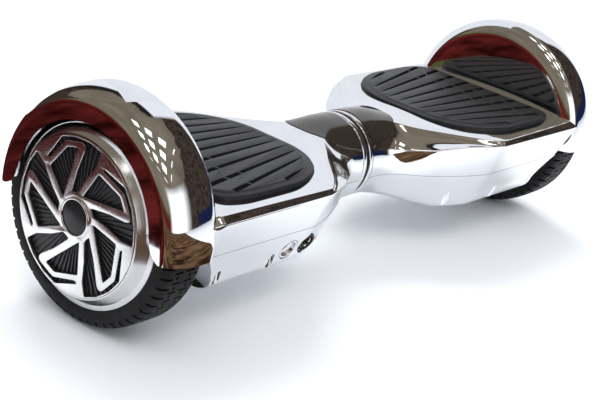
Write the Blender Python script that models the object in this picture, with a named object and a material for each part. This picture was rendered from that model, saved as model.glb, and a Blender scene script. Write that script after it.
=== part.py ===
"""Two-wheeled self-balancing board: two footboard halves that twist about one central shaft,
each with its own hub-motor wheel, built as separate named pieces.

Axes: X runs along the wheel axle (the left wheel is at -X), Z is up, and the face that carries
the power button and the charging socket looks along -Y. The origin is on the floor, in the
middle between the wheels. Every outline below is drawn for the right half, with `along` for the
distance from the middle, and heights measured from the wheel axle; the left half is its mirror.
"""

from math import cos, pi, radians, sin, sqrt, tan

import bmesh
import bpy
from mathutils import Matrix, Vector

MM = 0.001

# ---------------------------------------------------------------- driving dimensions
GAP = 0.3 * MM                      # clearance between pieces that touch

TYRE_RADIUS = 83.0 * MM
TYRE_WIDTH = 38.5 * MM
TYRE_BEAD = 16.7 * MM               # from the tread down to the bead seat
RIM_WALL = 8.3 * MM                 # bead seat to motor bore
RIM_FLANGE = 2.7 * MM               # height of the rim's outer flange over the bead seat
RIM_CONE = 9.1 * MM                 # how far the polished cone stands out from the flange
HUB_CAP_RADIUS = 12.5 * MM
HUB_CAP_PROUD = 1.6 * MM            # hub cap over the face of the wheel cover
COVER_PLATE = 2.0 * MM              # thickness of the pierced wheel cover
AXLE_RADIUS = 8.0 * MM
AXLE_TIP_RADIUS = 6.0 * MM
BEARING_WALL = 7.0 * MM
BEARING_WIDTH = 5.0 * MM
MAGNET_DEPTH = 2.5 * MM
AIR_GAP = 0.6 * MM

SHELL_WALL = 2.4 * MM
ARCH_CLEARANCE = 6.6 * MM           # tyre tread to the inside of the wheel arch
ARCH_WIDTH = 49.5 * MM              # wheel wall to the outer face of the arch
ARCH_CROWN = 12.5 * MM              # drop from the crown to the crease at the outer face
ARCH_COVE = 16.0 * MM               # height of the quarter round between wheel wall and crown
ARCH_LIP = 11.7 * MM                # flat outer lip below the crease
ARCH_START = -3.0                   # degrees below the axle where the arch ends

WALL_X = 238.0 * MM                 # wheel wall, the end of the footboard
CORNER_X = 121.0 * MM               # where the straight sides end and the taper begins
FLARE_X = 20.0 * MM                 # where the taper runs into the round neck
NECK_END = 7.0 * MM                 # end of the shells at the twist joint
NECK_RADIUS = 36.4 * MM
SKIRT_LENGTH = 20.0 * MM            # how far the sides run on along the arch
SKIRT_FADE = 4.5 * MM               # how far they have sunk into the arch there
DECK_HEIGHT = 28.5 * MM             # middle of the deck over the axle
DECK_DROP = 2.8 * MM                # deck edge below the middle of the deck
DECK_BEVEL = 2.4 * MM               # deck edge inside the waist at the corner
DECK_NARROWING = 3.3 * MM           # how much the deck edge closes in towards the wheel wall
WAIST_PROUD = 0.7 * MM              # waist line outside the crown of the arch
WAIST_HEIGHT = 21.5 * MM
PARTING = -9.0 * MM                 # upper shell meets lower shell
FLOOR_HEIGHT = -48.5 * MM           # belly of the lower shell
SIDE_SLANT = 22.0                   # degrees, sides of the board below the waist
BELLY_CORNER = 15.0 * MM            # height of the rounding between side and belly
BELLY_CROWN = 1.5 * MM              # fall of the belly from its corners to its middle
END_SLOPE = 22.0 * MM               # how far the belly ends short of the wheel wall

COVER_PROUD = 0.5 * MM              # indicator cover over the skin around it
COVER_DEPTH = 1.2 * MM
PAD_MARGIN = 12.0 * MM              # pad edge to the wheel wall
PAD_POINT = 33.0 * MM               # how far the pad reaches in past the corner
PAD_GAP = 0.6 * MM
PAD_THICKNESS = 6.5 * MM
PAD_PROUD = 3.0 * MM
PAD_TRAVEL = 1.5 * MM
PLUNGER_RADIUS = 4.0 * MM
PLUNGER_Y = 34.0 * MM

SHAFT_RADIUS = 16.0 * MM
SHAFT_WALL = 2.5 * MM
SHAFT_HALF = 75.0 * MM
BUSH_WALL = 3.7 * MM
BUSH_LENGTH = 10.0 * MM
TUBE_CLEARANCE = 7.0 * MM           # inside of the round neck to the frame tube
TUBE_START = 12.0 * MM
TUBE_END = 70.0 * MM
CLIP_THICKNESS = 1.6 * MM
CLIP_HEIGHT = 3.5 * MM
LOOM_RADIUS = 4.0 * MM
RING_PROUD = 0.4 * MM               # neck ring over the skin
RING_WALL = 7.0 * MM
RING_START = 2.0 * MM               # middle of the board to the neck ring
SEAL_WALL = 5.0 * MM
PIN_RADIUS = 3.0 * MM
TWIST_LIMIT = 10.0                  # degrees either way
PLATE_TOP = -2.0 * MM
PLATE_THICKNESS = 5.0 * MM
PLATE_START = 84.0 * MM
PLATE_MARGIN = 48.0 * MM            # end of the plate to the wheel wall
PLATE_HALF = 56.0 * MM
WEB_HALF = 18.0 * MM
BLOCK_MARGIN = 18.0 * MM            # end of the axle block to the wheel wall
BLOCK_HALF = 28.0 * MM
BLOCK_DEPTH = 20.0 * MM
CLAMP_HALF = 24.0 * MM
CLAMP_HEIGHT = 13.0 * MM
POST_RADIUS = 3.0 * MM
POST_INSET = 10.0 * MM              # circuit board end to its posts
BOARD_THICKNESS = 1.6 * MM
BOARD_HALF = 44.0 * MM
BATTERY_HALF = 34.0 * MM

PORT_RADIUS = 9.0 * MM
PORT_HEIGHT = -27.0 * MM            # centre of the button and the socket, below the axle
BUTTON_X = 138.6 * MM
PORT_SPACING = 3.5 * MM             # between the rims of the button and the socket
PORT_WALL = 2.2 * MM
BUTTON_DEPTH = 5.0 * MM
BUTTON_TRAVEL = 1.5 * MM
PORT_SUNK = 1.0 * MM                # button face and socket rim below the skin
SOCKET_RECESS = 9.0 * MM
SOCKET_DEPTH = 13.0 * MM
LAMP_HEIGHT = 10.0 * MM
LAMP_FOOT = 3.0 * MM                # lower edge of the lamp over the axle
LAMP_CORNER = 4.0 * MM

SEGMENTS = 28                       # facets round a wheel

# ---------------------------------------------------------------- sizes that follow
AXLE_Z = TYRE_RADIUS
BEAD_RADIUS = TYRE_RADIUS - TYRE_BEAD
FLANGE_RADIUS = BEAD_RADIUS + RIM_FLANGE
BORE_RADIUS = BEAD_RADIUS - RIM_WALL
WALL_BACK = WALL_X + SHELL_WALL
TYRE_IN = WALL_BACK + 2.6 * MM
TYRE_OUT = TYRE_IN + TYRE_WIDTH
FLANGE_X = TYRE_OUT - 0.8 * MM
RIM_IN = TYRE_IN + 2.5 * MM
FACE_X = FLANGE_X + RIM_CONE + 0.7 * MM
CAP_X = FACE_X + HUB_CAP_PROUD
COVER_RADIUS = BORE_RADIUS - GAP
ARCH_RADIUS = TYRE_RADIUS + ARCH_CLEARANCE + SHELL_WALL
ARCH_OUT = WALL_X + ARCH_WIDTH
COVE_WIDTH = ARCH_COVE * 0.875
DISC_RADIUS = ARCH_RADIUS - ARCH_COVE
CREASE_RADIUS = ARCH_RADIUS - ARCH_CROWN
LIP_RADIUS = CREASE_RADIUS - ARCH_LIP
SKIRT_END = WALL_X + SKIRT_LENGTH
WAIST_HALF = ARCH_RADIUS + WAIST_PROUD
DECK_EDGE = WAIST_HALF - DECK_BEVEL
PAD_EDGE_X = WALL_X - PAD_MARGIN
PAD_START_X = CORNER_X - PAD_POINT
PLUNGER_X = (PAD_START_X + PAD_EDGE_X) / 2.0
PLATE_END = WALL_X - PLATE_MARGIN
BLOCK_END = WALL_X - BLOCK_MARGIN
TUBE_RADIUS = NECK_RADIUS - SHELL_WALL - TUBE_CLEARANCE
BOARD_START = PLATE_START + 0.39 * (PLATE_END - PLATE_START)
BOARD_END = PLATE_START + 0.95 * (PLATE_END - PLATE_START)
SOCKET_X = BUTTON_X - 2.0 * PORT_RADIUS - PORT_SPACING
LAMP_START = CORNER_X + 24.0 * MM
LAMP_END = WALL_X - 33.0 * MM
BEARING_IN_RADIUS = AXLE_RADIUS + GAP + BEARING_WALL + 0.7 * MM
BEARING_OUT_RADIUS = AXLE_TIP_RADIUS + GAP + BEARING_WALL
PLATE_BOTTOM = PLATE_TOP - PLATE_THICKNESS
PAD_TOP = DECK_HEIGHT + PAD_PROUD
PAD_BOTTOM = PAD_TOP - PAD_THICKNESS
BOARD_Z = PLATE_TOP + 7.0 * MM      # underside of the gyro board


# ---------------------------------------------------------------- materials
def material(name, colour, roughness, metallic=0.0):
    """A Principled BSDF with one colour."""
    made = bpy.data.materials.new(name)
    made.use_nodes = True
    shader = made.node_tree.nodes["Principled BSDF"]
    shader.inputs["Base Color"].default_value = (*colour, 1.0)
    shader.inputs["Roughness"].default_value = roughness
    shader.inputs["Metallic"].default_value = metallic
    made.diffuse_color = (*colour, 1.0)
    return made


def make_materials():
    """One material for each finish on the board."""
    return {
        "chrome": material("chrome", (0.86, 0.87, 0.89), 0.05, 1.0),
        "smoked": material("smoked_plastic", (0.03, 0.028, 0.026), 0.12),
        "rubber": material("rubber", (0.02, 0.02, 0.022), 0.75),
        "tyre": material("tyre", (0.018, 0.018, 0.02), 0.8),
        "polished": material("polished_aluminium", (0.8, 0.8, 0.82), 0.18, 1.0),
        "cast": material("cast_aluminium", (0.45, 0.46, 0.47), 0.5, 1.0),
        "steel": material("steel", (0.5, 0.5, 0.5), 0.3, 1.0),
        "black": material("black_plastic", (0.012, 0.012, 0.013), 0.35),
        "copper": material("copper_winding", (0.5, 0.22, 0.1), 0.35, 1.0),
        "magnet": material("magnet", (0.22, 0.22, 0.23), 0.35, 1.0),
        "board": material("circuit_board", (0.02, 0.16, 0.06), 0.5),
        "battery": material("battery_wrap", (0.03, 0.12, 0.35), 0.4),
        "brass": material("brass", (0.7, 0.5, 0.22), 0.3, 1.0),
        "lens": material("clear_lens", (0.75, 0.82, 0.88), 0.08),
    }


# ---------------------------------------------------------------- building blocks
def clear_scene():
    for thing in list(bpy.data.objects):
        bpy.data.objects.remove(thing)


def empty(name, location):
    """An axis or a datum that pieces hang from."""
    marker = bpy.data.objects.new(name, None)
    marker.location = location
    marker.empty_display_size = 0.02
    bpy.context.scene.collection.objects.link(marker)
    return marker


def add_object(name, mesh_data, parent=None, finish=None):
    """Put a bmesh in the scene, its faces turned out."""
    bmesh.ops.recalc_face_normals(mesh_data, faces=mesh_data.faces)
    if mesh_data.calc_volume(signed=True) < 0.0:
        bmesh.ops.reverse_faces(mesh_data, faces=mesh_data.faces)
    mesh = bpy.data.meshes.new(name)
    mesh_data.to_mesh(mesh)
    mesh_data.free()
    mesh.shade_smooth()
    mesh.set_sharp_from_angle(angle=radians(32))
    made = bpy.data.objects.new(name, mesh)
    bpy.context.scene.collection.objects.link(made)
    if parent is not None:
        made.parent = parent
    if finish is not None:
        mesh.materials.append(finish)
    return made


def mirrored(mesh_data, side):
    """Flip a right-hand shape across the middle for the left half."""
    if side < 0:
        mesh_data.transform(Matrix.Scale(-1.0, 4, Vector((1.0, 0.0, 0.0))))
    return mesh_data


def apply_cut(target, tool, operation="DIFFERENCE"):
    """A Boolean with a hidden tool."""
    tool.hide_render = True
    tool.display_type = "WIRE"
    step = target.modifiers.new(tool.name, "BOOLEAN")
    step.operation = operation
    step.solver = "EXACT"
    step.object = tool
    return target


def turned(profile, segments=SEGMENTS, start=0.0, sweep=360.0):
    """Spin a closed (along, radius) outline about the axle; radius 0 is a point on the axle.

    The angle is 0 towards -Y and 90 degrees at the top.
    """
    shape = bmesh.new()
    full = sweep >= 360.0
    steps = segments if full else segments + 1
    rings = []
    for step in range(steps):
        angle = radians(start + sweep * step / segments)
        ring = []
        for index, (along, radius) in enumerate(profile):
            if radius == 0.0 and rings:
                ring.append(rings[0][index])
            else:
                place = (along, -radius * cos(angle), radius * sin(angle))
                ring.append(shape.verts.new(place))
        rings.append(ring)
    pairs = zip(rings, rings[1:] + rings[:1]) if full else zip(rings, rings[1:])
    for here, there in pairs:
        for index in range(len(profile)):
            after = (index + 1) % len(profile)
            corners = [here[index], here[after], there[after], there[index]]
            distinct = list(dict.fromkeys(corners))
            if len(distinct) > 2:
                shape.faces.new(distinct)
    if not full:
        shape.faces.new(rings[0])
        shape.faces.new(rings[-1])
    return shape


def extruded(outline, low, high, place=None, holes=()):
    """A straight block on a closed (a, b) outline, from low to high; place sets its corners."""
    place = place or (lambda a, b, c: (a, b, c))
    shape = bmesh.new()
    layers = []
    for height in (low, high):
        loops = []
        for loop in (outline, *holes):
            verts = [shape.verts.new(place(a, b, height)) for a, b in loop]
            loops.append(verts)
        layers.append(loops)
    for bottom, top in zip(*layers):
        for index in range(len(bottom)):
            after = (index + 1) % len(bottom)
            shape.faces.new((bottom[index], bottom[after], top[after], top[index]))
    for loops in layers:
        if holes:
            edges = []
            for verts in loops:
                edges += [shape.edges.get((a, b)) for a, b in zip(verts, verts[1:] + verts[:1])]
            bmesh.ops.triangle_fill(shape, use_beauty=True, edges=edges)
        else:
            shape.faces.new(loops[0])
    return shape


def box(low, high):
    """A block between two corners."""
    corners = [(low[0], low[1]), (high[0], low[1]), (high[0], high[1]), (low[0], high[1])]
    return extruded(corners, low[2], high[2])


def circle(radius, count, centre=(0.0, 0.0)):
    turn = 2.0 * pi / count
    return [(centre[0] + radius * cos(turn * i), centre[1] + radius * sin(turn * i))
            for i in range(count)]


def upright(radius, low, high, centre, count=12):
    """A round pin standing along Z."""
    return extruded(circle(radius, count, centre), low, high)


def across(a, b, c):
    """Outline in the plane across the axle, extruded along it."""
    return (c, a, b)


# ---------------------------------------------------------------- the body's skin
# How the taper grows from the round neck (0) to the full section at the corner (1):
# distance along the taper, deck edge, waist, deck height, belly.
FLARE = (
    (0.00, 0.00, 0.00, 0.00, 0.00),
    (0.13, 0.00, 0.07, 0.11, 0.04),
    (0.27, 0.04, 0.27, 0.43, 0.16),
    (0.40, 0.22, 0.47, 0.75, 0.40),
    (0.55, 0.42, 0.63, 0.91, 0.72),
    (0.70, 0.64, 0.78, 0.97, 0.96),
    (0.85, 0.85, 0.90, 1.00, 1.00),
    (1.00, 1.00, 1.00, 1.00, 1.00),
)
NECK_DECK_ANGLE = 60.0              # degrees up the round neck where the deck edge starts
NECK_WAIST_ANGLE = 20.0


def mix(start, end, share):
    return start + (end - start) * share


def flare(along, column):
    """Value of one column of FLARE at a distance from the middle."""
    share = (along - FLARE_X) / (CORNER_X - FLARE_X)
    if share <= 0.0:
        return 0.0
    for before, after in zip(FLARE, FLARE[1:]):
        if share <= after[0]:
            inner = (share - before[0]) / (after[0] - before[0])
            return mix(before[column], after[column], inner)
    return 1.0


def side_point(along, share):
    """A point (y, z) on the side and belly: share 0 is the waist, 1 is under the middle."""
    waist = flare(along, 2)
    neck_angle = radians(NECK_WAIST_ANGLE - (NECK_WAIST_ANGLE + 90.0) * share)
    round_y = NECK_RADIUS * cos(neck_angle)
    round_z = NECK_RADIUS * sin(neck_angle)
    slope = tan(radians(SIDE_SLANT))
    corner_top = FLOOR_HEIGHT + BELLY_CROWN + BELLY_CORNER
    if share <= 0.5:
        z = mix(WAIST_HEIGHT, corner_top, share / 0.5)
        y = WAIST_HALF - slope * (WAIST_HEIGHT - z)
    else:
        corner_y = WAIST_HALF - slope * (WAIST_HEIGHT - corner_top)
        if share <= 0.8:
            turn = (share - 0.5) / 0.3 * pi / 2.0
            y = corner_y - BELLY_CORNER * 1.3 * (1.0 - cos(turn))
            z = corner_top - BELLY_CORNER * sin(turn)
        else:
            y = (corner_y - BELLY_CORNER * 1.3) * (1.0 - share) / 0.2
            z = mix(FLOOR_HEIGHT + BELLY_CROWN, FLOOR_HEIGHT, (share - 0.8) / 0.2)
    belly = flare(along, 4)
    return mix(round_y, y, waist), mix(round_z, z, belly)


def upper_half(along):
    """Half outline of the upper shell, from the middle of the deck down to the waist."""
    deck = flare(along, 3)
    top = mix(NECK_RADIUS, DECK_HEIGHT, deck)
    narrowing = 0.0
    if along > CORNER_X:
        narrowing = DECK_NARROWING * min(1.0, (along - CORNER_X) / (WALL_X - CORNER_X))
    neck_edge = radians(NECK_DECK_ANGLE)
    edge_y = mix(NECK_RADIUS * cos(neck_edge), DECK_EDGE - narrowing, flare(along, 1))
    edge_z = mix(NECK_RADIUS * sin(neck_edge), DECK_HEIGHT - DECK_DROP, deck)
    waist_y, waist_z = side_point(along, 0.0)
    points = []
    for share in (0.0, 0.6, 1.0):
        points.append((edge_y * share, top - (top - edge_z) * share ** 2))
    reach = min(1.0, max(0.0, (along - FLARE_X) / (CORNER_X - FLARE_X)))
    bulge = mix(2.2 * MM, 0.0, reach) - 3.5 * MM * sin(pi * reach)
    across_y, across_z = waist_y - edge_y, waist_z - edge_z
    length = sqrt(across_y ** 2 + across_z ** 2)
    points.append((mix(edge_y, waist_y, 0.5) - across_z / length * bulge,
                   mix(edge_z, waist_z, 0.5) + across_y / length * bulge))
    points.append((waist_y, waist_z))
    return points


def parting_share(along, height):
    """Where on the side the given height lies, by halving."""
    low, high = 0.0, 0.5
    for _ in range(40):
        middle = (low + high) / 2.0
        if side_point(along, middle)[1] > height:
            low = middle
        else:
            high = middle
    return high


def section(along, upper, inset, parting=None):
    """Closed half outline (y, z) of one shell, from the middle round to the parting line."""
    height = PARTING if parting is None else parting
    split = parting_share(along, height)
    if upper:
        points = upper_half(along)
        points.append(side_point(along, split))
        reach = points[0][1] - height
    else:
        shares = [split, 0.5, 0.6, 0.7, 0.8, 1.0]
        points = [side_point(along, share) for share in shares]
        reach = height - points[-1][1]
    widest = max(point[0] for point in points)
    narrow = (widest - inset) / widest
    lower = (reach - inset) / reach
    return [(y * narrow, height + (z - height) * lower) for y, z in points]


def end_reach(height):
    """How far out the end of the lower shell stands at a height, for the sloping end."""
    share = (height - FLOOR_HEIGHT) / (PARTING - FLOOR_HEIGHT)
    share = min(1.0, max(0.0, share))
    return WALL_BACK - 0.6 * MM - END_SLOPE * (1.0 - share ** 2.2)


def skin(upper, inset=0.0, start=NECK_END, end=SKIRT_END, overshoot=0.0, sloped=False):
    """A solid inside the body's outer surface, drawn in by inset."""
    stations = [FLARE_X + share[0] * (CORNER_X - FLARE_X) for share in FLARE]
    stations = [start] + [s for s in stations if s > start] + [mix(CORNER_X, WALL_X, 0.5)]
    if upper and end > WALL_X + 1.0 * MM:
        stations += [WALL_BACK, mix(WALL_BACK, end, 0.5)]
    stations.append(end)
    shape = bmesh.new()
    rows = []
    for along in stations:
        parting = PARTING
        if upper and along > WALL_BACK:
            rise = (along - WALL_BACK) / (SKIRT_END - WALL_BACK)
            parting = mix(PARTING, PARTING * 0.55, rise)
        fade = max(0.0, along - WALL_BACK) / (SKIRT_END - WALL_BACK) * SKIRT_FADE if upper else 0.0
        half = section(along, upper, inset + fade, parting)
        if overshoot:
            edge = half[-1] if upper else half[0]
            extra = (edge[0], edge[1] + overshoot)
            half = half + [extra] if upper else [extra] + half
        row = []
        for y, z in half:
            x = along
            if sloped and along > CORNER_X:
                limit = end_reach(z) - inset
                x = mix(CORNER_X, limit, (along - CORNER_X) / (end - CORNER_X))
            front = shape.verts.new((x, -y, z))
            back = front if y < 1e-9 else shape.verts.new((x, y, z))
            row.append((front, back))
        rows.append(row)
    for here, there in zip(rows, rows[1:]):
        for index in range(len(here) - 1):
            for hand in (0, 1):
                shape.faces.new((here[index][hand], here[index + 1][hand],
                                 there[index + 1][hand], there[index][hand]))
        open_edge = -1 if upper else 0
        shape.faces.new((here[open_edge][0], here[open_edge][1],
                         there[open_edge][1], there[open_edge][0]))
    for row in (rows[0], rows[-1]):
        for first, second in zip(row, row[1:]):
            corners = [first[0], first[1], second[1], second[0]]
            shape.faces.new(list(dict.fromkeys(corners)))
    bmesh.ops.triangulate(shape, faces=shape.faces)
    return shape


def arch_curve(inset=0.0, steps=4):
    """The wheel arch from the wheel wall over the crown to the lip, as (along, radius)."""
    points = []
    cove_x = WALL_X + COVE_WIDTH
    for index in range(steps + 1):
        turn = index / steps * pi / 2.0
        points.append((cove_x - (COVE_WIDTH - inset) * cos(turn),
                       DISC_RADIUS + (ARCH_COVE - inset) * sin(turn)))
    crown_x = cove_x + 4.0 * MM
    for index in range(steps + 1):
        turn = index / steps * pi / 2.0
        points.append((crown_x + (ARCH_OUT - crown_x - inset) * sin(turn),
                       CREASE_RADIUS + (ARCH_CROWN - inset) * cos(turn)))
    points.append((ARCH_OUT - inset, LIP_RADIUS))
    return points


def pad_outline(grow=0.0):
    """Plan of the foot pad as (along, y), drawn round its own middle so that it can grow."""
    reach = WAIST_HALF
    half = [
        (PAD_EDGE_X, reach - 22.7 * MM),
        (PAD_EDGE_X - 23.0 * MM, reach - 15.2 * MM),
        (CORNER_X + 24.0 * MM, reach - 15.2 * MM),
        (CORNER_X + 2.0 * MM, reach - 22.2 * MM),
        (CORNER_X - 14.0 * MM, reach - 32.7 * MM),
        (CORNER_X - 27.0 * MM, reach - 49.7 * MM),
        (PAD_START_X, reach - 67.7 * MM),
    ]
    loop = half + [(x, -y) for x, y in reversed(half)]
    if not grow:
        return loop
    moved = []
    for before, here, after in zip(loop[-1:] + loop[:-1], loop, loop[1:] + loop[:1]):
        into = Vector((here[0] - before[0], here[1] - before[1])).normalized()
        out = Vector((after[0] - here[0], after[1] - here[1])).normalized()
        normal = Vector((into.y + out.y, -into.x - out.x)).normalized()
        stretch = grow / max(0.5, normal.dot(Vector((out.y, -out.x))))
        moved.append((here[0] + normal.x * stretch, here[1] + normal.y * stretch))
    return moved


def cover_outline(grow=0.0):
    """Plan of the indicator cover: wide at the neck, rounded towards the deck."""
    start = NECK_END + 1.5 * MM - grow
    half = [(start, 32.5 * MM + grow)]
    length = 47.0 * MM + grow
    for index in range(7):
        turn = index / 6.0 * pi / 2.0
        half.append((start + length * sin(turn) ** 0.9, (31.5 * MM + grow) * cos(turn) ** 0.75))
    half[1] = (start + 9.0 * MM, 31.0 * MM + grow)
    return half + [(x, -y) for x, y in reversed(half[:-1])]


# ---------------------------------------------------------------- shells and their trim
def lamp_outline(grow=0.0):
    """Long rounded window in the +Y side, as (along, height)."""
    low, high = LAMP_FOOT, LAMP_FOOT + LAMP_HEIGHT
    near, far, corner = LAMP_START, LAMP_END, LAMP_CORNER
    return [(near + corner, low - grow), (far - corner, low - grow),
            (far + grow, low + corner), (far + grow, high - corner),
            (far - corner, high + grow), (near + corner, high + grow),
            (near - grow, high - corner), (near - grow, low + corner)]


def add_patch(name, side, parent, block, proud, depth, finish=None):
    """A piece of the body's skin inside a block, from proud of the surface down to depth."""
    patch = add_object(name, mirrored(block, side), parent, finish)
    outer = add_object(f"{name}_outer", mirrored(skin(True, -proud), side), parent)
    apply_cut(patch, outer, "INTERSECT")
    inner = add_object(f"{name}_inner", mirrored(skin(True, depth, 0.0), side), parent)
    apply_cut(patch, inner)
    return patch


def cover_block(grow=0.0):
    return extruded(cover_outline(grow), NECK_RADIUS * 0.35, 2.0 * NECK_RADIUS)


def lamp_block(grow=0.0):
    def facing(a, b, c):
        return (a, c, b)
    return extruded(lamp_outline(grow), WAIST_HALF * 0.6, WAIST_HALF * 1.2, facing)


def add_upper_shell(name, side, parent, finish):
    """Deck, sides and wheel arch in one thin moulding."""
    shell = add_object(name, mirrored(skin(True), side), parent, finish)

    def cut(tool_name, shape, operation="DIFFERENCE"):
        tool = add_object(f"{name}_{tool_name}", mirrored(shape, side), parent)
        apply_cut(shell, tool, operation)

    cut("hollow", skin(True, SHELL_WALL, NECK_END - 4.0 * MM, WALL_X - 0.1 * MM, -6.0 * MM))
    far = ARCH_OUT + 20.0 * MM
    back = WALL_BACK - 0.1 * MM
    space = [(back, 0.0), (back, DISC_RADIUS - 4.0 * MM)] + arch_curve(SHELL_WALL - 0.2 * MM)[1:]
    cut("wheel_space", turned(space + [(far, LIP_RADIUS), (far, 0.0)]))
    hole = AXLE_RADIUS * 0.5
    arch = arch_curve() + list(reversed(arch_curve(SHELL_WALL)))
    arch = [(WALL_X, hole)] + arch + [(WALL_BACK, hole)]
    cut("arch", turned(arch, 18, ARCH_START, 180.0 - 2.0 * ARCH_START), "UNION")
    notch = AXLE_RADIUS + 1.2 * MM
    near, beyond = WALL_X - 8.0 * MM, WALL_BACK + 1.0 * MM
    slot = [(notch * cos(pi * step / 8.0), notch * sin(pi * step / 8.0)) for step in range(9)]
    slot += [(-notch, PARTING - 20.0 * MM), (notch, PARTING - 20.0 * MM)]
    cut("axle_slot", extruded(slot, near, beyond, across))
    cut("pad_opening", extruded(pad_outline(PAD_GAP), 0.0, 80.0 * MM))
    cover_seat = add_patch(f"{name}_cover_seat", side, parent, cover_block(GAP),
                           COVER_PROUD + 1.0 * MM, COVER_DEPTH + GAP)
    apply_cut(shell, cover_seat)
    lamp_seat = add_object(f"{name}_lamp_seat", mirrored(lamp_block(GAP), side), parent)
    apply_cut(shell, lamp_seat)
    return shell


def side_frame(along, height):
    """Matrix at a point of the -Y side, with its Z axis pointing out of the surface."""
    slope = radians(SIDE_SLANT)
    out = Vector((0.0, -cos(slope), -sin(slope)))
    right = Vector((1.0, 0.0, 0.0))
    up = out.cross(right)
    depth = WAIST_HALF - tan(slope) * (WAIST_HEIGHT - height)
    turn = Matrix((right, up, out)).transposed().to_4x4()
    return Matrix.Translation((along, -depth, height)) @ turn


def port_piece(along, profile, segments=20):
    """A turned piece standing in the side, its (depth, radius) outline measured outwards."""
    shape = turned(profile, segments)
    shape.transform(side_frame(along, PORT_HEIGHT) @ Matrix.Rotation(-pi / 2.0, 4, "Y"))
    return shape


def add_lower_shell(name, side, parent, finish):
    """Belly of one half, with its sloping end next to the tyre."""
    shape = skin(False, 0.0, NECK_END, WALL_X, 0.0, True)
    bmesh.ops.translate(shape, vec=(0.0, 0.0, -GAP), verts=shape.verts)
    shell = add_object(name, mirrored(shape, side), parent, finish)
    hollow = skin(False, SHELL_WALL, NECK_END - 4.0 * MM, WALL_X, 6.0 * MM, True)
    apply_cut(shell, add_object(f"{name}_hollow", mirrored(hollow, side), parent))
    if side < 0:
        for label, along in (("button", BUTTON_X), ("socket", SOCKET_X)):
            deep, radius = -12.0 * MM, PORT_RADIUS + GAP
            bore = port_piece(along, [(deep, 0.0), (deep, radius), (5.0 * MM, radius),
                                      (5.0 * MM, 0.0)])
            apply_cut(shell, add_object(f"{name}_{label}_hole", mirrored(bore, side), parent))
    return shell


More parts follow.
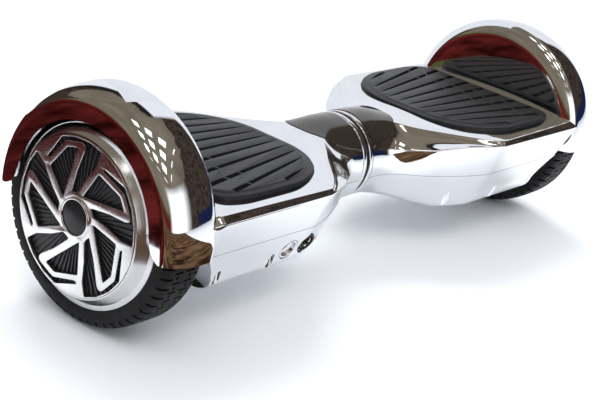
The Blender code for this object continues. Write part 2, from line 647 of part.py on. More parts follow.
# ---------------------------------------------------------------- wheels
def add_wheel(hand, side, axis, finishes):
    """Everything that turns with one hub motor; the axis empty stands on the axle."""
    middle = (TYRE_IN + TYRE_OUT) / 2.0

    def ring(name, profile, finish, segments=SEGMENTS):
        local = [(along - middle, radius) for along, radius in profile]
        return add_object(f"{hand}_{name}", mirrored(turned(local, segments), side), axis,
                          finishes[finish])

    half = TYRE_WIDTH / 2.0
    seat = BEAD_RADIUS + GAP
    flange = FLANGE_RADIUS + GAP
    ring("tyre", [
        (middle - half + 3.0 * MM, seat), (middle - half + 0.8 * MM, seat + 1.5 * MM),
        (middle - half, mix(seat, TYRE_RADIUS, 0.42)),
        (middle - half + 1.0 * MM, TYRE_RADIUS - 5.0 * MM),
        (middle - half + 4.2 * MM, TYRE_RADIUS - 1.4 * MM),
        (middle - half + 9.5 * MM, TYRE_RADIUS - 0.2 * MM), (middle, TYRE_RADIUS),
        (middle + half - 9.5 * MM, TYRE_RADIUS - 0.2 * MM),
        (middle + half - 4.2 * MM, TYRE_RADIUS - 1.4 * MM),
        (middle + half - 1.5 * MM, TYRE_RADIUS - 5.0 * MM),
        (middle + half, mix(seat, TYRE_RADIUS, 0.42)),
        (FLANGE_X, flange), (FLANGE_X - 4.0 * MM - GAP, flange),
        (FLANGE_X - 4.0 * MM - GAP, seat)], "tyre")
    lip = FLANGE_X + RIM_CONE
    ring("rim", [
        (RIM_IN, BEARING_IN_RADIUS + GAP), (RIM_IN, BEAD_RADIUS),
        (FLANGE_X - 4.0 * MM, BEAD_RADIUS), (FLANGE_X - 4.0 * MM, FLANGE_RADIUS),
        (FLANGE_X, FLANGE_RADIUS), (lip, BORE_RADIUS + 0.9 * MM), (lip, BORE_RADIUS),
        (RIM_IN + 3.0 * MM, BORE_RADIUS), (RIM_IN + 3.0 * MM, BEARING_IN_RADIUS + GAP)],
         "polished")
    magnet_in = RIM_IN + 6.0 * MM
    magnet_out = FLANGE_X - 11.0 * MM
    ring("magnet_ring", [
        (magnet_in, BORE_RADIUS - GAP - MAGNET_DEPTH), (magnet_in, BORE_RADIUS - GAP),
        (magnet_out, BORE_RADIUS - GAP), (magnet_out, BORE_RADIUS - GAP - MAGNET_DEPTH)],
         "magnet")
    plate_in = FLANGE_X - 8.0 * MM
    ring("motor_end_plate", [
        (plate_in, BEARING_OUT_RADIUS + GAP), (plate_in, COVER_RADIUS),
        (plate_in + 3.5 * MM, COVER_RADIUS), (plate_in + 3.5 * MM, BEARING_OUT_RADIUS + GAP)],
         "cast")
    ring("inner_bearing", [
        (RIM_IN - 0.5 * MM, AXLE_RADIUS + GAP), (RIM_IN - 0.5 * MM, BEARING_IN_RADIUS),
        (RIM_IN - 0.5 * MM + BEARING_WIDTH, BEARING_IN_RADIUS),
        (RIM_IN - 0.5 * MM + BEARING_WIDTH, AXLE_RADIUS + GAP)], "steel", 20)
    ring("outer_bearing", [
        (plate_in - 0.5 * MM, AXLE_TIP_RADIUS + GAP), (plate_in - 0.5 * MM, BEARING_OUT_RADIUS),
        (plate_in - 0.5 * MM + BEARING_WIDTH, BEARING_OUT_RADIUS),
        (plate_in - 0.5 * MM + BEARING_WIDTH, AXLE_TIP_RADIUS + GAP)], "steel", 20)
    plate_back = FACE_X - COVER_PLATE
    disc_back = plate_back - GAP - 3.5 * MM
    ring("wheel_disc", [
        (disc_back, 0.0), (disc_back, COVER_RADIUS), (plate_back - GAP, COVER_RADIUS),
        (plate_back - GAP, 0.0)], "black")
    cap_seat = plate_back
    ring("hub_cap_ring", [
        (cap_seat, HUB_CAP_RADIUS + GAP), (cap_seat, HUB_CAP_RADIUS + 1.8 * MM),
        (CAP_X - 0.6 * MM, HUB_CAP_RADIUS + 1.8 * MM), (CAP_X, HUB_CAP_RADIUS + 1.2 * MM),
        (CAP_X, HUB_CAP_RADIUS + GAP)], "polished", 24)
    ring("hub_cap", [
        (cap_seat, 0.0), (cap_seat, HUB_CAP_RADIUS), (CAP_X - 0.8 * MM, HUB_CAP_RADIUS),
        (CAP_X - 0.2 * MM, HUB_CAP_RADIUS - 1.0 * MM), (CAP_X - 0.2 * MM, 0.0)], "black", 24)
    plate = extruded(circle(COVER_RADIUS, SEGMENTS), plate_back - middle, FACE_X - middle, across,
                     cover_holes())
    add_object(f"{hand}_wheel_cover", mirrored(plate, side), axis, finishes["polished"])


# One of the five petals of the wheel cover, seen from outside: (share of the cover's radius,
# degrees round from the top, towards the front).
PETALS = 5
PETAL_WINDOW = ((0.30, -59.0), (0.72, -49.0), (0.857, -20.0), (0.86, -8.0))
PETAL_GAP = (
    (0.31, -24.0), (0.60, -7.0), (0.86, 0.5), (0.92, 0.0), (0.945, -3.0), (0.935, -20.5),
    (0.80, -45.5), (0.835, -47.5), (0.985, -24.0), (0.985, -10.0), (0.985, 4.0),
    (0.98, 17.0), (0.79, 17.5), (0.52, 9.0), (0.31, -3.0),
)


def cover_holes():
    """The middle hole, the windows and the gaps round the petals, as (y, z) loops."""
    holes = [circle(HUB_CAP_RADIUS + 2.4 * MM, 20)]
    for petal in range(PETALS):
        for pattern in (PETAL_WINDOW, PETAL_GAP):
            loop = []
            for share, angle in pattern:
                turn = radians(angle + 360.0 / PETALS * petal)
                loop.append((-COVER_RADIUS * share * sin(turn), COVER_RADIUS * share * cos(turn)))
            holes.append(loop)
    return holes


def add_motor_core(hand, side, parent, finishes):
    """The axle and the wound stator, which stay still inside the wheel."""
    tip = FLANGE_X - 2.0 * MM
    shoulder = FLANGE_X - 10.5 * MM
    axle = turned([(PLATE_END + 6.0 * MM, 0.0), (PLATE_END + 6.0 * MM, AXLE_RADIUS),
                   (shoulder, AXLE_RADIUS), (shoulder, AXLE_TIP_RADIUS),
                   (tip, AXLE_TIP_RADIUS), (tip, 0.0)], 20)
    add_object(f"{hand}_axle", mirrored(axle, side), parent, finishes["steel"])
    outer = BORE_RADIUS - GAP - MAGNET_DEPTH - AIR_GAP
    teeth = 12
    outline = []
    for tooth in range(teeth):
        for share, radius in ((0.04, outer), (0.62, outer), (0.70, outer - 2.0 * MM),
                              (0.96, outer - 2.0 * MM)):
            turn = 2.0 * pi * (tooth + share) / teeth
            outline.append((radius * cos(turn), radius * sin(turn)))
    bore = circle(AXLE_RADIUS + GAP, 20)
    low, high = RIM_IN + 7.5 * MM, FLANGE_X - 12.5 * MM
    core = extruded(outline, low, high, across, [bore])
    add_object(f"{hand}_stator", mirrored(core, side), parent, finishes["copper"])


# ---------------------------------------------------------------- structure
def add_frame(hand, side, parent, finish, bore):
    """Cast frame: a tube at the neck, a plate under the deck and a block for the axle."""
    low = PLATE_BOTTOM
    frame = add_object(f"{hand}_frame", mirrored(box(
        (PLATE_START, -PLATE_HALF, low), (PLATE_END, PLATE_HALF, PLATE_TOP)), side),
        parent, finish)

    def join(name, shape, operation="UNION"):
        tool = add_object(f"{hand}_frame_{name}", mirrored(shape, side), parent)
        apply_cut(frame, tool, operation)

    join("neck_web", box((TUBE_END - 12.0 * MM, -WEB_HALF, 1.0 * MM - TUBE_RADIUS),
                         (PLATE_START + 6.0 * MM, WEB_HALF, PLATE_TOP - 3.5 * MM)))
    join("tube", extruded(circle(TUBE_RADIUS, 24), TUBE_START, TUBE_END, across))
    join("block", box((PLATE_END - 4.0 * MM, -BLOCK_HALF, -BLOCK_DEPTH),
                      (BLOCK_END, BLOCK_HALF, -GAP)))
    join("bore", extruded(circle(bore, 24), TUBE_START - 2.0 * MM, SHAFT_HALF + 3.0 * MM,
                          across), "DIFFERENCE")
    join("saddle", extruded(circle(AXLE_RADIUS + GAP, 20), PLATE_END - 8.0 * MM,
                            BLOCK_END + 4.0 * MM, across), "DIFFERENCE")
    for along in (BOARD_START + POST_INSET, BOARD_END - POST_INSET):
        for y in (-PLUNGER_Y, PLUNGER_Y):
            post = upright(POST_RADIUS, PLATE_TOP - 1.0 * MM, BOARD_Z - GAP, (along, y), 8)
            join(f"post_{round(along / MM)}_{round(y / MM)}", post)
    if side > 0:
        half = PIN_RADIUS + tan(radians(TWIST_LIMIT + 2.0)) * TUBE_RADIUS
        middle = (TUBE_START + TUBE_END) / 2.0
        slot = box((middle - PIN_RADIUS - 1.0 * MM, -half, 0.0),
                   (middle + PIN_RADIUS + 1.0 * MM, half, TUBE_RADIUS * 1.3))
        join("pin_slot", slot, "DIFFERENCE")
    return frame


def add_half(hand, side, parent, finishes):
    """The pieces that each half has, all fixed to its frame."""
    add_upper_shell(f"{hand}_upper_shell", side, parent, finishes["chrome"])
    add_lower_shell(f"{hand}_lower_shell", side, parent, finishes["chrome"])
    add_patch(f"{hand}_indicator_cover", side, parent, cover_block(), COVER_PROUD,
              COVER_DEPTH, finishes["smoked"])
    add_patch(f"{hand}_headlight", side, parent, lamp_block(), 0.0, SHELL_WALL,
              finishes["lens"])
    start, end = RING_START, NECK_END - GAP
    inner, edge, crest = NECK_RADIUS - RING_WALL, NECK_RADIUS - RING_PROUD, NECK_RADIUS + RING_PROUD
    slope = 2.0 * RING_PROUD
    ring = turned([(start, inner), (start, edge), (start + slope, crest), (end - slope, crest),
                   (end, edge), (end, inner)])
    add_object(f"{hand}_neck_ring", mirrored(ring, side), parent, finishes["chrome"])
    bore = SHAFT_RADIUS + GAP if side < 0 else SHAFT_RADIUS + BUSH_WALL + 2.0 * GAP
    add_frame(hand, side, parent, finishes["cast"], bore)
    clamp = box((PLATE_END + 8.0 * MM, -CLAMP_HALF, GAP), (BLOCK_END, CLAMP_HALF, CLAMP_HEIGHT))
    made = add_object(f"{hand}_axle_clamp", mirrored(clamp, side), parent, finishes["cast"])
    groove = extruded(circle(AXLE_RADIUS + GAP, 20), PLATE_END, BLOCK_END + 4.0 * MM, across)
    apply_cut(made, add_object(f"{hand}_clamp_groove", mirrored(groove, side), parent))
    board = box((BOARD_START, -BOARD_HALF, BOARD_Z),
                (BOARD_END, BOARD_HALF, BOARD_Z + BOARD_THICKNESS))
    add_object(f"{hand}_gyro_board", mirrored(board, side), parent, finishes["board"])
    lights = box((NECK_END + 16.0 * MM, -9.0 * MM, TUBE_RADIUS + 1.2 * MM),
                 (NECK_END + 36.0 * MM, 9.0 * MM, TUBE_RADIUS + 2.8 * MM))
    add_object(f"{hand}_indicator_board", mirrored(lights, side), parent, finishes["board"])
    add_motor_core(hand, side, parent, finishes)


def add_pad(hand, side, parent, finishes):
    """Rubber foot pad and the two plungers under it that trip the rider sensors."""
    pad = extruded(pad_outline(), PAD_BOTTOM, PAD_TOP)
    top = [edge for edge in pad.edges
           if all(abs(vert.co.z - PAD_TOP) < 1e-6 for vert in edge.verts)]
    bmesh.ops.bevel(pad, geom=top, offset=1.2 * MM, segments=1, affect="EDGES")
    add_object(f"{hand}_foot_pad", mirrored(pad, side), parent, finishes["rubber"])
    low = BOARD_Z + BOARD_THICKNESS + PAD_TRAVEL + GAP
    for place, y in (("front", -PLUNGER_Y), ("rear", PLUNGER_Y)):
        pin = upright(PLUNGER_RADIUS, low, PAD_BOTTOM - GAP, (PLUNGER_X, y))
        add_object(f"{hand}_plunger_{place}", mirrored(pin, side), parent, finishes["black"])


def add_middle(parent, right_parent, finishes):
    """Central shaft, its bushes, the twist stop and the seal between the halves."""
    shaft = turned([(-SHAFT_HALF, SHAFT_RADIUS - SHAFT_WALL), (-SHAFT_HALF, SHAFT_RADIUS),
                    (SHAFT_HALF, SHAFT_RADIUS), (SHAFT_HALF, SHAFT_RADIUS - SHAFT_WALL)], 24)
    add_object("central_shaft", shaft, parent, finishes["steel"])
    outer = SHAFT_RADIUS + GAP + BUSH_WALL
    ends = (("inner_bush", TUBE_START + 1.0 * MM),
            ("outer_bush", TUBE_END - 1.0 * MM - BUSH_LENGTH))
    for name, start in ends:
        bush = turned([(start, SHAFT_RADIUS + GAP), (start, outer),
                       (start + BUSH_LENGTH, outer), (start + BUSH_LENGTH, SHAFT_RADIUS + GAP)], 24)
        add_object(name, bush, right_parent, finishes["brass"])
    start = TUBE_END + 0.8 * MM
    inner, outer = SHAFT_RADIUS + GAP, SHAFT_RADIUS + CLIP_HEIGHT
    end = start + CLIP_THICKNESS
    clip = turned([(start, inner), (start, outer), (end, outer), (end, inner)], 24, 110.0, 320.0)
    add_object("shaft_circlip", clip, parent, finishes["steel"])
    middle = (TUBE_START + TUBE_END) / 2.0
    pin = upright(PIN_RADIUS, SHAFT_RADIUS + GAP, TUBE_RADIUS - 1.0 * MM, (middle, 0.0))
    add_object("twist_stop_pin", pin, parent, finishes["steel"])
    edge, rim = RING_START - GAP, NECK_RADIUS - 1.0 * MM
    seal = turned([(-edge, rim - SEAL_WALL), (-edge, rim), (edge, rim), (edge, rim - SEAL_WALL)])
    add_object("neck_seal", seal, parent, finishes["rubber"])
    reach = SHAFT_HALF + 8.0 * MM
    loom = turned([(-reach, 0.0), (-reach, LOOM_RADIUS), (reach, LOOM_RADIUS), (reach, 0.0)], 10)
    add_object("wiring_loom", loom, parent, finishes["black"])


def add_electrics(left, right, finishes):
    """Battery in the left belly, main board in the right one, and the two ports."""
    top = PLATE_BOTTOM - 2.0 * MM
    battery = box((8.0 * MM - PLATE_END, -BATTERY_HALF, FLOOR_HEIGHT + SHELL_WALL + 2.0 * MM),
                  (-TUBE_END - 22.0 * MM, BATTERY_HALF, top - 1.0 * MM))
    add_object("battery_pack", battery, left, finishes["battery"])
    low = top - 10.0 * MM
    add_object("main_board", box((TUBE_END + 22.0 * MM, -42.0 * MM, low),
                                 (PLATE_END - 6.0 * MM, 42.0 * MM, low + BOARD_THICKNESS)),
               right, finishes["board"])
    rim = PORT_RADIUS
    collar = rim - PORT_WALL
    back = -PORT_SUNK - BUTTON_DEPTH
    deep, lip = back - BUTTON_TRAVEL - 0.5 * MM, -0.6 * MM
    bezel = port_piece(BUTTON_X, [(deep, collar), (deep, rim), (lip, rim), (lip, collar)])
    add_object("power_button_bezel", mirrored(bezel, -1), left, finishes["polished"])
    cap = collar - GAP
    chamfer = 0.7 * MM
    button = port_piece(BUTTON_X, [(back, 0.0), (back, cap), (-PORT_SUNK - chamfer, cap),
                                   (-PORT_SUNK, cap - chamfer), (-PORT_SUNK, 0.0)])
    button_axis = empty("power_button_axis", side_frame(BUTTON_X, PORT_HEIGHT).translation)
    button_axis.location.x *= -1.0
    button_axis.parent = left
    made = mirrored(button, -1)
    made.transform(Matrix.Translation(-button_axis.location))
    add_object("power_button", made, button_axis, finishes["polished"])
    deep, floor = -PORT_SUNK - SOCKET_DEPTH, -PORT_SUNK - SOCKET_RECESS
    socket = port_piece(SOCKET_X, [(deep, 0.0), (deep, rim), (-PORT_SUNK, rim),
                                   (-PORT_SUNK, collar), (floor, collar), (floor, 0.0)])
    add_object("charging_socket", mirrored(socket, -1), left, finishes["black"])


def main():
    clear_scene()
    finishes = make_materials()
    joint = Vector((0.0, 0.0, AXLE_Z))
    halves = {hand: empty(f"{hand}_half_axis", joint) for hand in ("left", "right")}
    middle = (TYRE_IN + TYRE_OUT) / 2.0
    for hand, side in (("left", -1), ("right", 1)):
        half = halves[hand]
        add_half(hand, side, half, finishes)
        add_pad(hand, side, half, finishes)
        axis = empty(f"{hand}_wheel_axis", (side * middle, 0.0, 0.0))
        axis.parent = half
        add_wheel(hand, side, axis, finishes)
    add_middle(halves["left"], halves["right"], finishes)
    add_electrics(halves["left"], halves["right"], finishes)


main()
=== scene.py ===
"""Looks for the self-balancing board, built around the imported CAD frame.

Lengths are in metres in the frame's own axes: X along the wheel axle, Z up, -Y towards the ports.
Shapes of the two halves are drawn once for the right half and mirrored for the left one.
"""

from functools import reduce
from math import cos, pi, radians, sin, sqrt, tan

import bmesh
import bpy
from mathutils import Matrix, Vector


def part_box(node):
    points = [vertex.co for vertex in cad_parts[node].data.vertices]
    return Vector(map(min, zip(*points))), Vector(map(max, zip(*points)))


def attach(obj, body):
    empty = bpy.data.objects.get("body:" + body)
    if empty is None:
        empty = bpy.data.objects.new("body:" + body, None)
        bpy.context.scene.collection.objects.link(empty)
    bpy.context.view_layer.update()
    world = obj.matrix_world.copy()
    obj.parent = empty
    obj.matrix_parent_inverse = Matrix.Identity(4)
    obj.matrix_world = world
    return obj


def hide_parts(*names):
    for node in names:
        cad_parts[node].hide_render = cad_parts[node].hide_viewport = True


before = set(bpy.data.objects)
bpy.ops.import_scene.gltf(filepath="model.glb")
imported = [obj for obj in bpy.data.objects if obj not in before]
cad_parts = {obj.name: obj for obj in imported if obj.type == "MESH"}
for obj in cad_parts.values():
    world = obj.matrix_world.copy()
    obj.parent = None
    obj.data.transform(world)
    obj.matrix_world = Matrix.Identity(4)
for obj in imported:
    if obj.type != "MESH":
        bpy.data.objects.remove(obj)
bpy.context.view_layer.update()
MM = 0.001
SIDES = (("left", -1), ("right", 1))

# ---------------------------------------------------------------- sizes read from the frame
tyre_low, tyre_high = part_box("right_tyre")
AXLE_Z = (tyre_low.z + tyre_high.z) / 2.0
TYRE_RADIUS = (tyre_high.z - tyre_low.z) / 2.0
TYRE_IN, TYRE_OUT = tyre_low.x, tyre_high.x
TYRE_MIDDLE = (TYRE_IN + TYRE_OUT) / 2.0
shell_low, shell_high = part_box("right_upper_shell")
ARCH_OUT = shell_high.x
NECK_END = shell_low.x
ARCH_RADIUS = shell_high.z - AXLE_Z
ring_low, ring_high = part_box("right_neck_ring")
pad_low, pad_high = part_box("right_foot_pad")
PAD_TOP, PAD_BOTTOM = pad_high.z - AXLE_Z, pad_low.z - AXLE_Z
cover_low, cover_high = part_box("right_wheel_cover")
FACE_X, COVER_BACK = cover_high.x, cover_low.x
COVER_RADIUS = (cover_high.z - cover_low.z) / 2.0
cap_low, cap_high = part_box("right_hub_cap_ring")
CAP_X = cap_high.x
HUB_RING_RADIUS = (cap_high.z - cap_low.z) / 2.0
RIM_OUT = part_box("right_rim")[1].x

# ---------------------------------------------------------------- the design's own sizes
GAP = 0.3 * MM
SHELL_WALL = 2.4 * MM
WALL_X = 238.0 * MM
WALL_BACK = WALL_X + SHELL_WALL
CORNER_X = 121.0 * MM
FLARE_X = 20.0 * MM
NECK_RADIUS = 36.4 * MM
SKIRT_END = WALL_X + 20.0 * MM
SKIRT_FADE = 4.5 * MM
DECK_HEIGHT = 28.5 * MM
DECK_DROP = 2.8 * MM
DECK_NARROWING = 3.3 * MM
WAIST_HALF = ARCH_RADIUS + 0.7 * MM
DECK_EDGE = WAIST_HALF - 2.4 * MM
WAIST_HEIGHT = 21.5 * MM
PARTING = -9.0 * MM
FLOOR_HEIGHT = -48.5 * MM
SIDE_ANGLE = radians(22.0)          # lean of the sides from upright
SIDE_SLANT = tan(SIDE_ANGLE)
BELLY_CORNER = 15.0 * MM
BELLY_CROWN = 1.5 * MM
BELLY_SPREAD = 1.3                  # width of the belly's corner, as a share of its height
CORNER_FROM, CORNER_TO = 0.5, 0.8   # shares of the side's outline between which it turns
END_SLOPE = 22.0 * MM
ARCH_COVE = 16.0 * MM
COVE_WIDTH = ARCH_COVE * 0.875
ARCH_CROWN = 12.5 * MM
DISC_RADIUS = ARCH_RADIUS - ARCH_COVE
CREASE_RADIUS = ARCH_RADIUS - ARCH_CROWN
LIP_RADIUS = CREASE_RADIUS - 11.7 * MM
ARCH_START = -3.0
COVER_PROUD = 0.5 * MM
COVER_DEPTH = 1.2 * MM
PAD_GAP = 0.6 * MM
PORT_RADIUS = 9.0 * MM
PORT_HEIGHT = -27.0 * MM
BUTTON_X = 138.6 * MM
SOCKET_X = 117.1 * MM
EDGE_ROUND = 1.3 * MM               # rounding of the deck edge and of the waist
NECK_DECK_ANGLE = 60.0
NECK_WAIST_ANGLE = 20.0
AXLE_RADIUS = 8.0 * MM

# How the taper grows from the round neck (0) to the full section at the corner (1):
# distance along the taper, deck edge, waist, deck height, belly.
FLARE = (
    (0.00, 0.00, 0.00, 0.00, 0.00),
    (0.13, 0.00, 0.07, 0.11, 0.04),
    (0.27, 0.04, 0.27, 0.43, 0.16),
    (0.40, 0.22, 0.47, 0.75, 0.40),
    (0.55, 0.42, 0.63, 0.91, 0.72),
    (0.70, 0.64, 0.78, 0.97, 0.96),
    (0.85, 0.85, 0.90, 1.00, 1.00),
    (1.00, 1.00, 1.00, 1.00, 1.00),
)


# ---------------------------------------------------------------- helpers
def mix(start, end, share):
    return start + (end - start) * share


def steps(count, low=0.0, high=1.0):
    """count + 1 even steps from low to high."""
    return [mix(low, high, index / count) for index in range(count + 1)]


def bend(start, corner, end, share):
    """A point on the parabola from start to end that leans on corner."""
    rest = 1.0 - share
    return tuple(rest * rest * a + 2.0 * rest * share * b + share * share * c
                 for a, b, c in zip(start, corner, end))


def linked(name, data):
    """A new object in the scene."""
    made = bpy.data.objects.new(name, data)
    bpy.context.scene.collection.objects.link(made)
    return made


def scratch(shape, name="scratch"):
    """A bmesh as an object that isn't part of the board yet."""
    bmesh.ops.recalc_face_normals(shape, faces=shape.faces)
    if shape.calc_volume(signed=True) < 0.0:
        bmesh.ops.reverse_faces(shape, faces=shape.faces)
    mesh = bpy.data.meshes.new(name)
    shape.to_mesh(mesh)
    shape.free()
    return linked(name, mesh)


def evaluated_mesh(thing):
    """The mesh that an object's modifiers or curve settings make."""
    bpy.context.view_layer.update()
    graph = bpy.context.evaluated_depsgraph_get()
    return bpy.data.meshes.new_from_object(thing.evaluated_get(graph))


def bake_modifiers(thing):
    """Replace an object's mesh by what its modifiers make of it."""
    mesh = evaluated_mesh(thing)
    thing.modifiers.clear()
    old, thing.data = thing.data, mesh
    bpy.data.meshes.remove(old)
    return thing


def combine(target, tool, operation="DIFFERENCE"):
    """An exact Boolean, applied at once; its tool is used up."""
    step = target.modifiers.new("combine", "BOOLEAN")
    step.operation = operation
    step.solver = "EXACT"
    step.object = tool
    bake_modifiers(target)
    bpy.data.objects.remove(tool)
    return target


def finish_piece(thing, name, body, slot, material, replaces=(), sharp=32.0):
    """Name a piece, give it its material and hang it on its body."""
    thing.name = name
    thing.data.name = name
    thing.data.materials.clear()
    thing.data.materials.append(material)
    thing.data.shade_smooth()
    thing.data.set_sharp_from_angle(angle=radians(sharp))
    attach(thing, body)
    if replaces:
        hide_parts(*replaces)
    return thing


def mirrored_copy(thing, side):
    """The piece itself for the right side, a mirrored copy of it for the left one."""
    copy = linked(thing.name, thing.data.copy())
    if side < 0:
        copy.data.transform(Matrix.Scale(-1.0, 4, Vector((1.0, 0.0, 0.0))))
        copy.data.flip_normals()
    return copy


def lifted(thing):
    """Move a shape drawn about the axle's height up to where the axle is."""
    thing.data.transform(Matrix.Translation((0.0, 0.0, AXLE_Z)))
    return thing


def turned(profile, segments, start=0.0, sweep=360.0):
    """Spin a closed (along, radius) outline about the axle; 0 degrees is -Y, 90 is the top."""
    shape = bmesh.new()
    full = sweep >= 360.0
    rings = []
    for step in range(segments if full else segments + 1):
        angle = radians(start + sweep * step / segments)
        ring = []
        for index, (along, radius) in enumerate(profile):
            if radius == 0.0 and rings:
                ring.append(rings[0][index])
            else:
                ring.append(shape.verts.new((along, -radius * cos(angle), radius * sin(angle))))
        rings.append(ring)
    for here, there in zip(rings, rings[1:] + rings[:1]) if full else zip(rings, rings[1:]):
        for index in range(len(profile)):
            after = (index + 1) % len(profile)
            corners = [here[index], here[after], there[after], there[index]]
            distinct = list(dict.fromkeys(corners))
            if len(distinct) > 2:
                shape.faces.new(distinct)
    if not full:
        shape.faces.new(rings[0])
        shape.faces.new(rings[-1])
    return shape


def add_walls(shape, lower, upper):
    """Add the faces between two rings of as many corners."""
    for index in range(len(lower)):
        after = (index + 1) % len(lower)
        shape.faces.new((lower[index], lower[after], upper[after], upper[index]))


def add_block(shape, bottom, top):
    """Add a closed block between two loops of as many points."""
    bottom = [shape.verts.new(point) for point in bottom]
    top = [shape.verts.new(point) for point in top]
    add_walls(shape, bottom, top)
    shape.faces.new(list(reversed(bottom)))
    shape.faces.new(top)


def upright(a, b, c):
    """Outline in plan, extruded upwards."""
    return (a, b, c)


def sideways(a, b, c):
    """Outline seen from the side, extruded across the board."""
    return (a, c, b)


def across(a, b, c):
    """Outline in the plane across the axle, extruded along it."""
    return (c, a, b)


def add_prism(shape, outline, low, high, place=upright):
    """Add a straight block on a closed (a, b) outline, from low to high; place sets its corners."""
    add_block(shape, *([place(a, b, level) for a, b in outline] for level in (low, high)))


def extruded(outline, low, high, place=upright):
    """The same block as a shape of its own."""
    shape = bmesh.new()
    add_prism(shape, outline, low, high, place)
    return shape


def circle(radius, count, centre=(0.0, 0.0)):
    turn = 2.0 * pi / count
    return [(centre[0] + radius * cos(turn * i), centre[1] + radius * sin(turn * i))
            for i in range(count)]


def rounded(outline, radius, count):
    """A closed outline with each corner eased to about a radius."""
    eased = []
    for before, here, after in zip(outline[-1:] + outline[:-1], outline, outline[1:] + outline[:1]):
        here, before, after = Vector(here), Vector(before), Vector(after)
        back, on = before - here, after - here
        reach = min(radius, back.length * 0.45, on.length * 0.45)
        start, end = here + back.normalized() * reach, here + on.normalized() * reach
        eased += [bend(start, here, end, share) for share in steps(count)]
    return eased


# ---------------------------------------------------------------- the body's skin
def flare_once(along, column):
    """One column of FLARE on a smooth curve that keeps its order."""
    share = min(1.0, max(0.0, (along - FLARE_X) / (CORNER_X - FLARE_X)))
    slopes = [(after[column] - before[column]) / (after[0] - before[0])
              for before, after in zip(FLARE, FLARE[1:])]
    for index, (before, after) in enumerate(zip(FLARE, FLARE[1:])):
        if share <= after[0]:
            width = after[0] - before[0]
            t = (share - before[0]) / width
            left = slopes[index - 1] if index else 0.0
            right = slopes[index + 1] if index + 1 < len(slopes) else slopes[index]
            here = slopes[index]
            m0 = 0.0 if left * here <= 0.0 else 2.0 * left * here / (left + here)
            m1 = 0.0 if right * here <= 0.0 else 2.0 * right * here / (right + here)
            return ((2 * t ** 3 - 3 * t ** 2 + 1) * before[column]
                    + (t ** 3 - 2 * t ** 2 + t) * m0 * width
                    + (3 * t ** 2 - 2 * t ** 3) * after[column]
                    + (t ** 3 - t ** 2) * m1 * width)
    return 1.0


CORNER_EASE = 3.5 * MM


def flare(along, column):
    """The curve above with the corner of the footboard eased in plan."""
    return (flare_once(along - CORNER_EASE, column) + 2.0 * flare_once(along, column)
            + flare_once(along + CORNER_EASE, column)) / 4.0


def side_depth(height):
    """Distance of the full section's slanted side from the middle plane."""
    return WAIST_HALF - SIDE_SLANT * (WAIST_HEIGHT - height)


def side_point(along, share):
    """A point (y, z) on the side and belly: share 0 is the waist, 1 is under the middle."""
    waist = flare(along, 2)
    neck_angle = radians(NECK_WAIST_ANGLE - (NECK_WAIST_ANGLE + 90.0) * share)
    corner_top = FLOOR_HEIGHT + BELLY_CROWN + BELLY_CORNER
    if share <= CORNER_FROM:
        z = mix(WAIST_HEIGHT, corner_top, share / CORNER_FROM)
        y = side_depth(z)
    elif share <= CORNER_TO:
        turn = (share - CORNER_FROM) / (CORNER_TO - CORNER_FROM) * pi / 2.0
        y = side_depth(corner_top) - BELLY_CORNER * BELLY_SPREAD * (1.0 - cos(turn))
        z = corner_top - BELLY_CORNER * sin(turn)
    else:
        under = (share - CORNER_TO) / (1.0 - CORNER_TO)
        y = (side_depth(corner_top) - BELLY_CORNER * BELLY_SPREAD) * (1.0 - under)
        z = mix(FLOOR_HEIGHT + BELLY_CROWN, FLOOR_HEIGHT, under)
    belly = flare(along, 4)
    return (mix(NECK_RADIUS * cos(neck_angle), y, waist),
            mix(NECK_RADIUS * sin(neck_angle), z, belly))


NECK_BULGE = 2.2 * MM               # the bevel between deck edge and waist, at the neck
TAPER_HOLLOW = 3.5 * MM             # and how far it is drawn in halfway along the taper
EASE_SHARES = (0.25, 0.5, 0.75)


def upper_half(along):
    """Half outline of the upper shell, from the middle of the deck down to the parting."""
    deck = flare(along, 3)
    top = mix(NECK_RADIUS, DECK_HEIGHT, deck)
    narrowing = 0.0
    if along > CORNER_X:
        narrowing = DECK_NARROWING * min(1.0, (along - CORNER_X) / (WALL_X - CORNER_X))
    neck_edge = radians(NECK_DECK_ANGLE)
    edge = (mix(NECK_RADIUS * cos(neck_edge), DECK_EDGE - narrowing, flare(along, 1)),
            mix(NECK_RADIUS * sin(neck_edge), DECK_HEIGHT - DECK_DROP, deck))
    waist = side_point(along, 0.0)
    reach = min(1.0, max(0.0, (along - FLARE_X) / (CORNER_X - FLARE_X)))
    bulge = mix(NECK_BULGE, 0.0, reach) - TAPER_HOLLOW * sin(pi * reach)
    run, fall = waist[0] - edge[0], waist[1] - edge[1]
    length = sqrt(run ** 2 + fall ** 2)
    lean = (mix(edge[0], waist[0], 0.5) - fall / length * 2.0 * bulge,
            mix(edge[1], waist[1], 0.5) + run / length * 2.0 * bulge)

    def deck_point(share):
        return (edge[0] * share, top - (top - edge[1]) * share ** 2)

    short = EDGE_ROUND / length
    last = 1.0 - EDGE_ROUND / edge[0]
    points = [deck_point(share) for share in steps(12, 0.0, last)]
    bevel = [bend(edge, lean, waist, share) for share in steps(6, short, 1.0 - short)]
    drop = 0.5 * EDGE_ROUND / (WAIST_HEIGHT - FLOOR_HEIGHT - BELLY_CROWN - BELLY_CORNER)
    below = side_point(along, drop)
    points += [bend(points[-1], edge, bevel[0], share) for share in EASE_SHARES]
    points += bevel
    points += [bend(bevel[-1], waist, below, share) for share in EASE_SHARES]
    return points, drop


HALVINGS = 40


def parting_share(along, height):
    """Where on the side the given height lies, by halving."""
    low, high = 0.0, CORNER_FROM
    for _ in range(HALVINGS):
        middle = (low + high) / 2.0
        if side_point(along, middle)[1] > height:
            low = middle
        else:
            high = middle
    return high


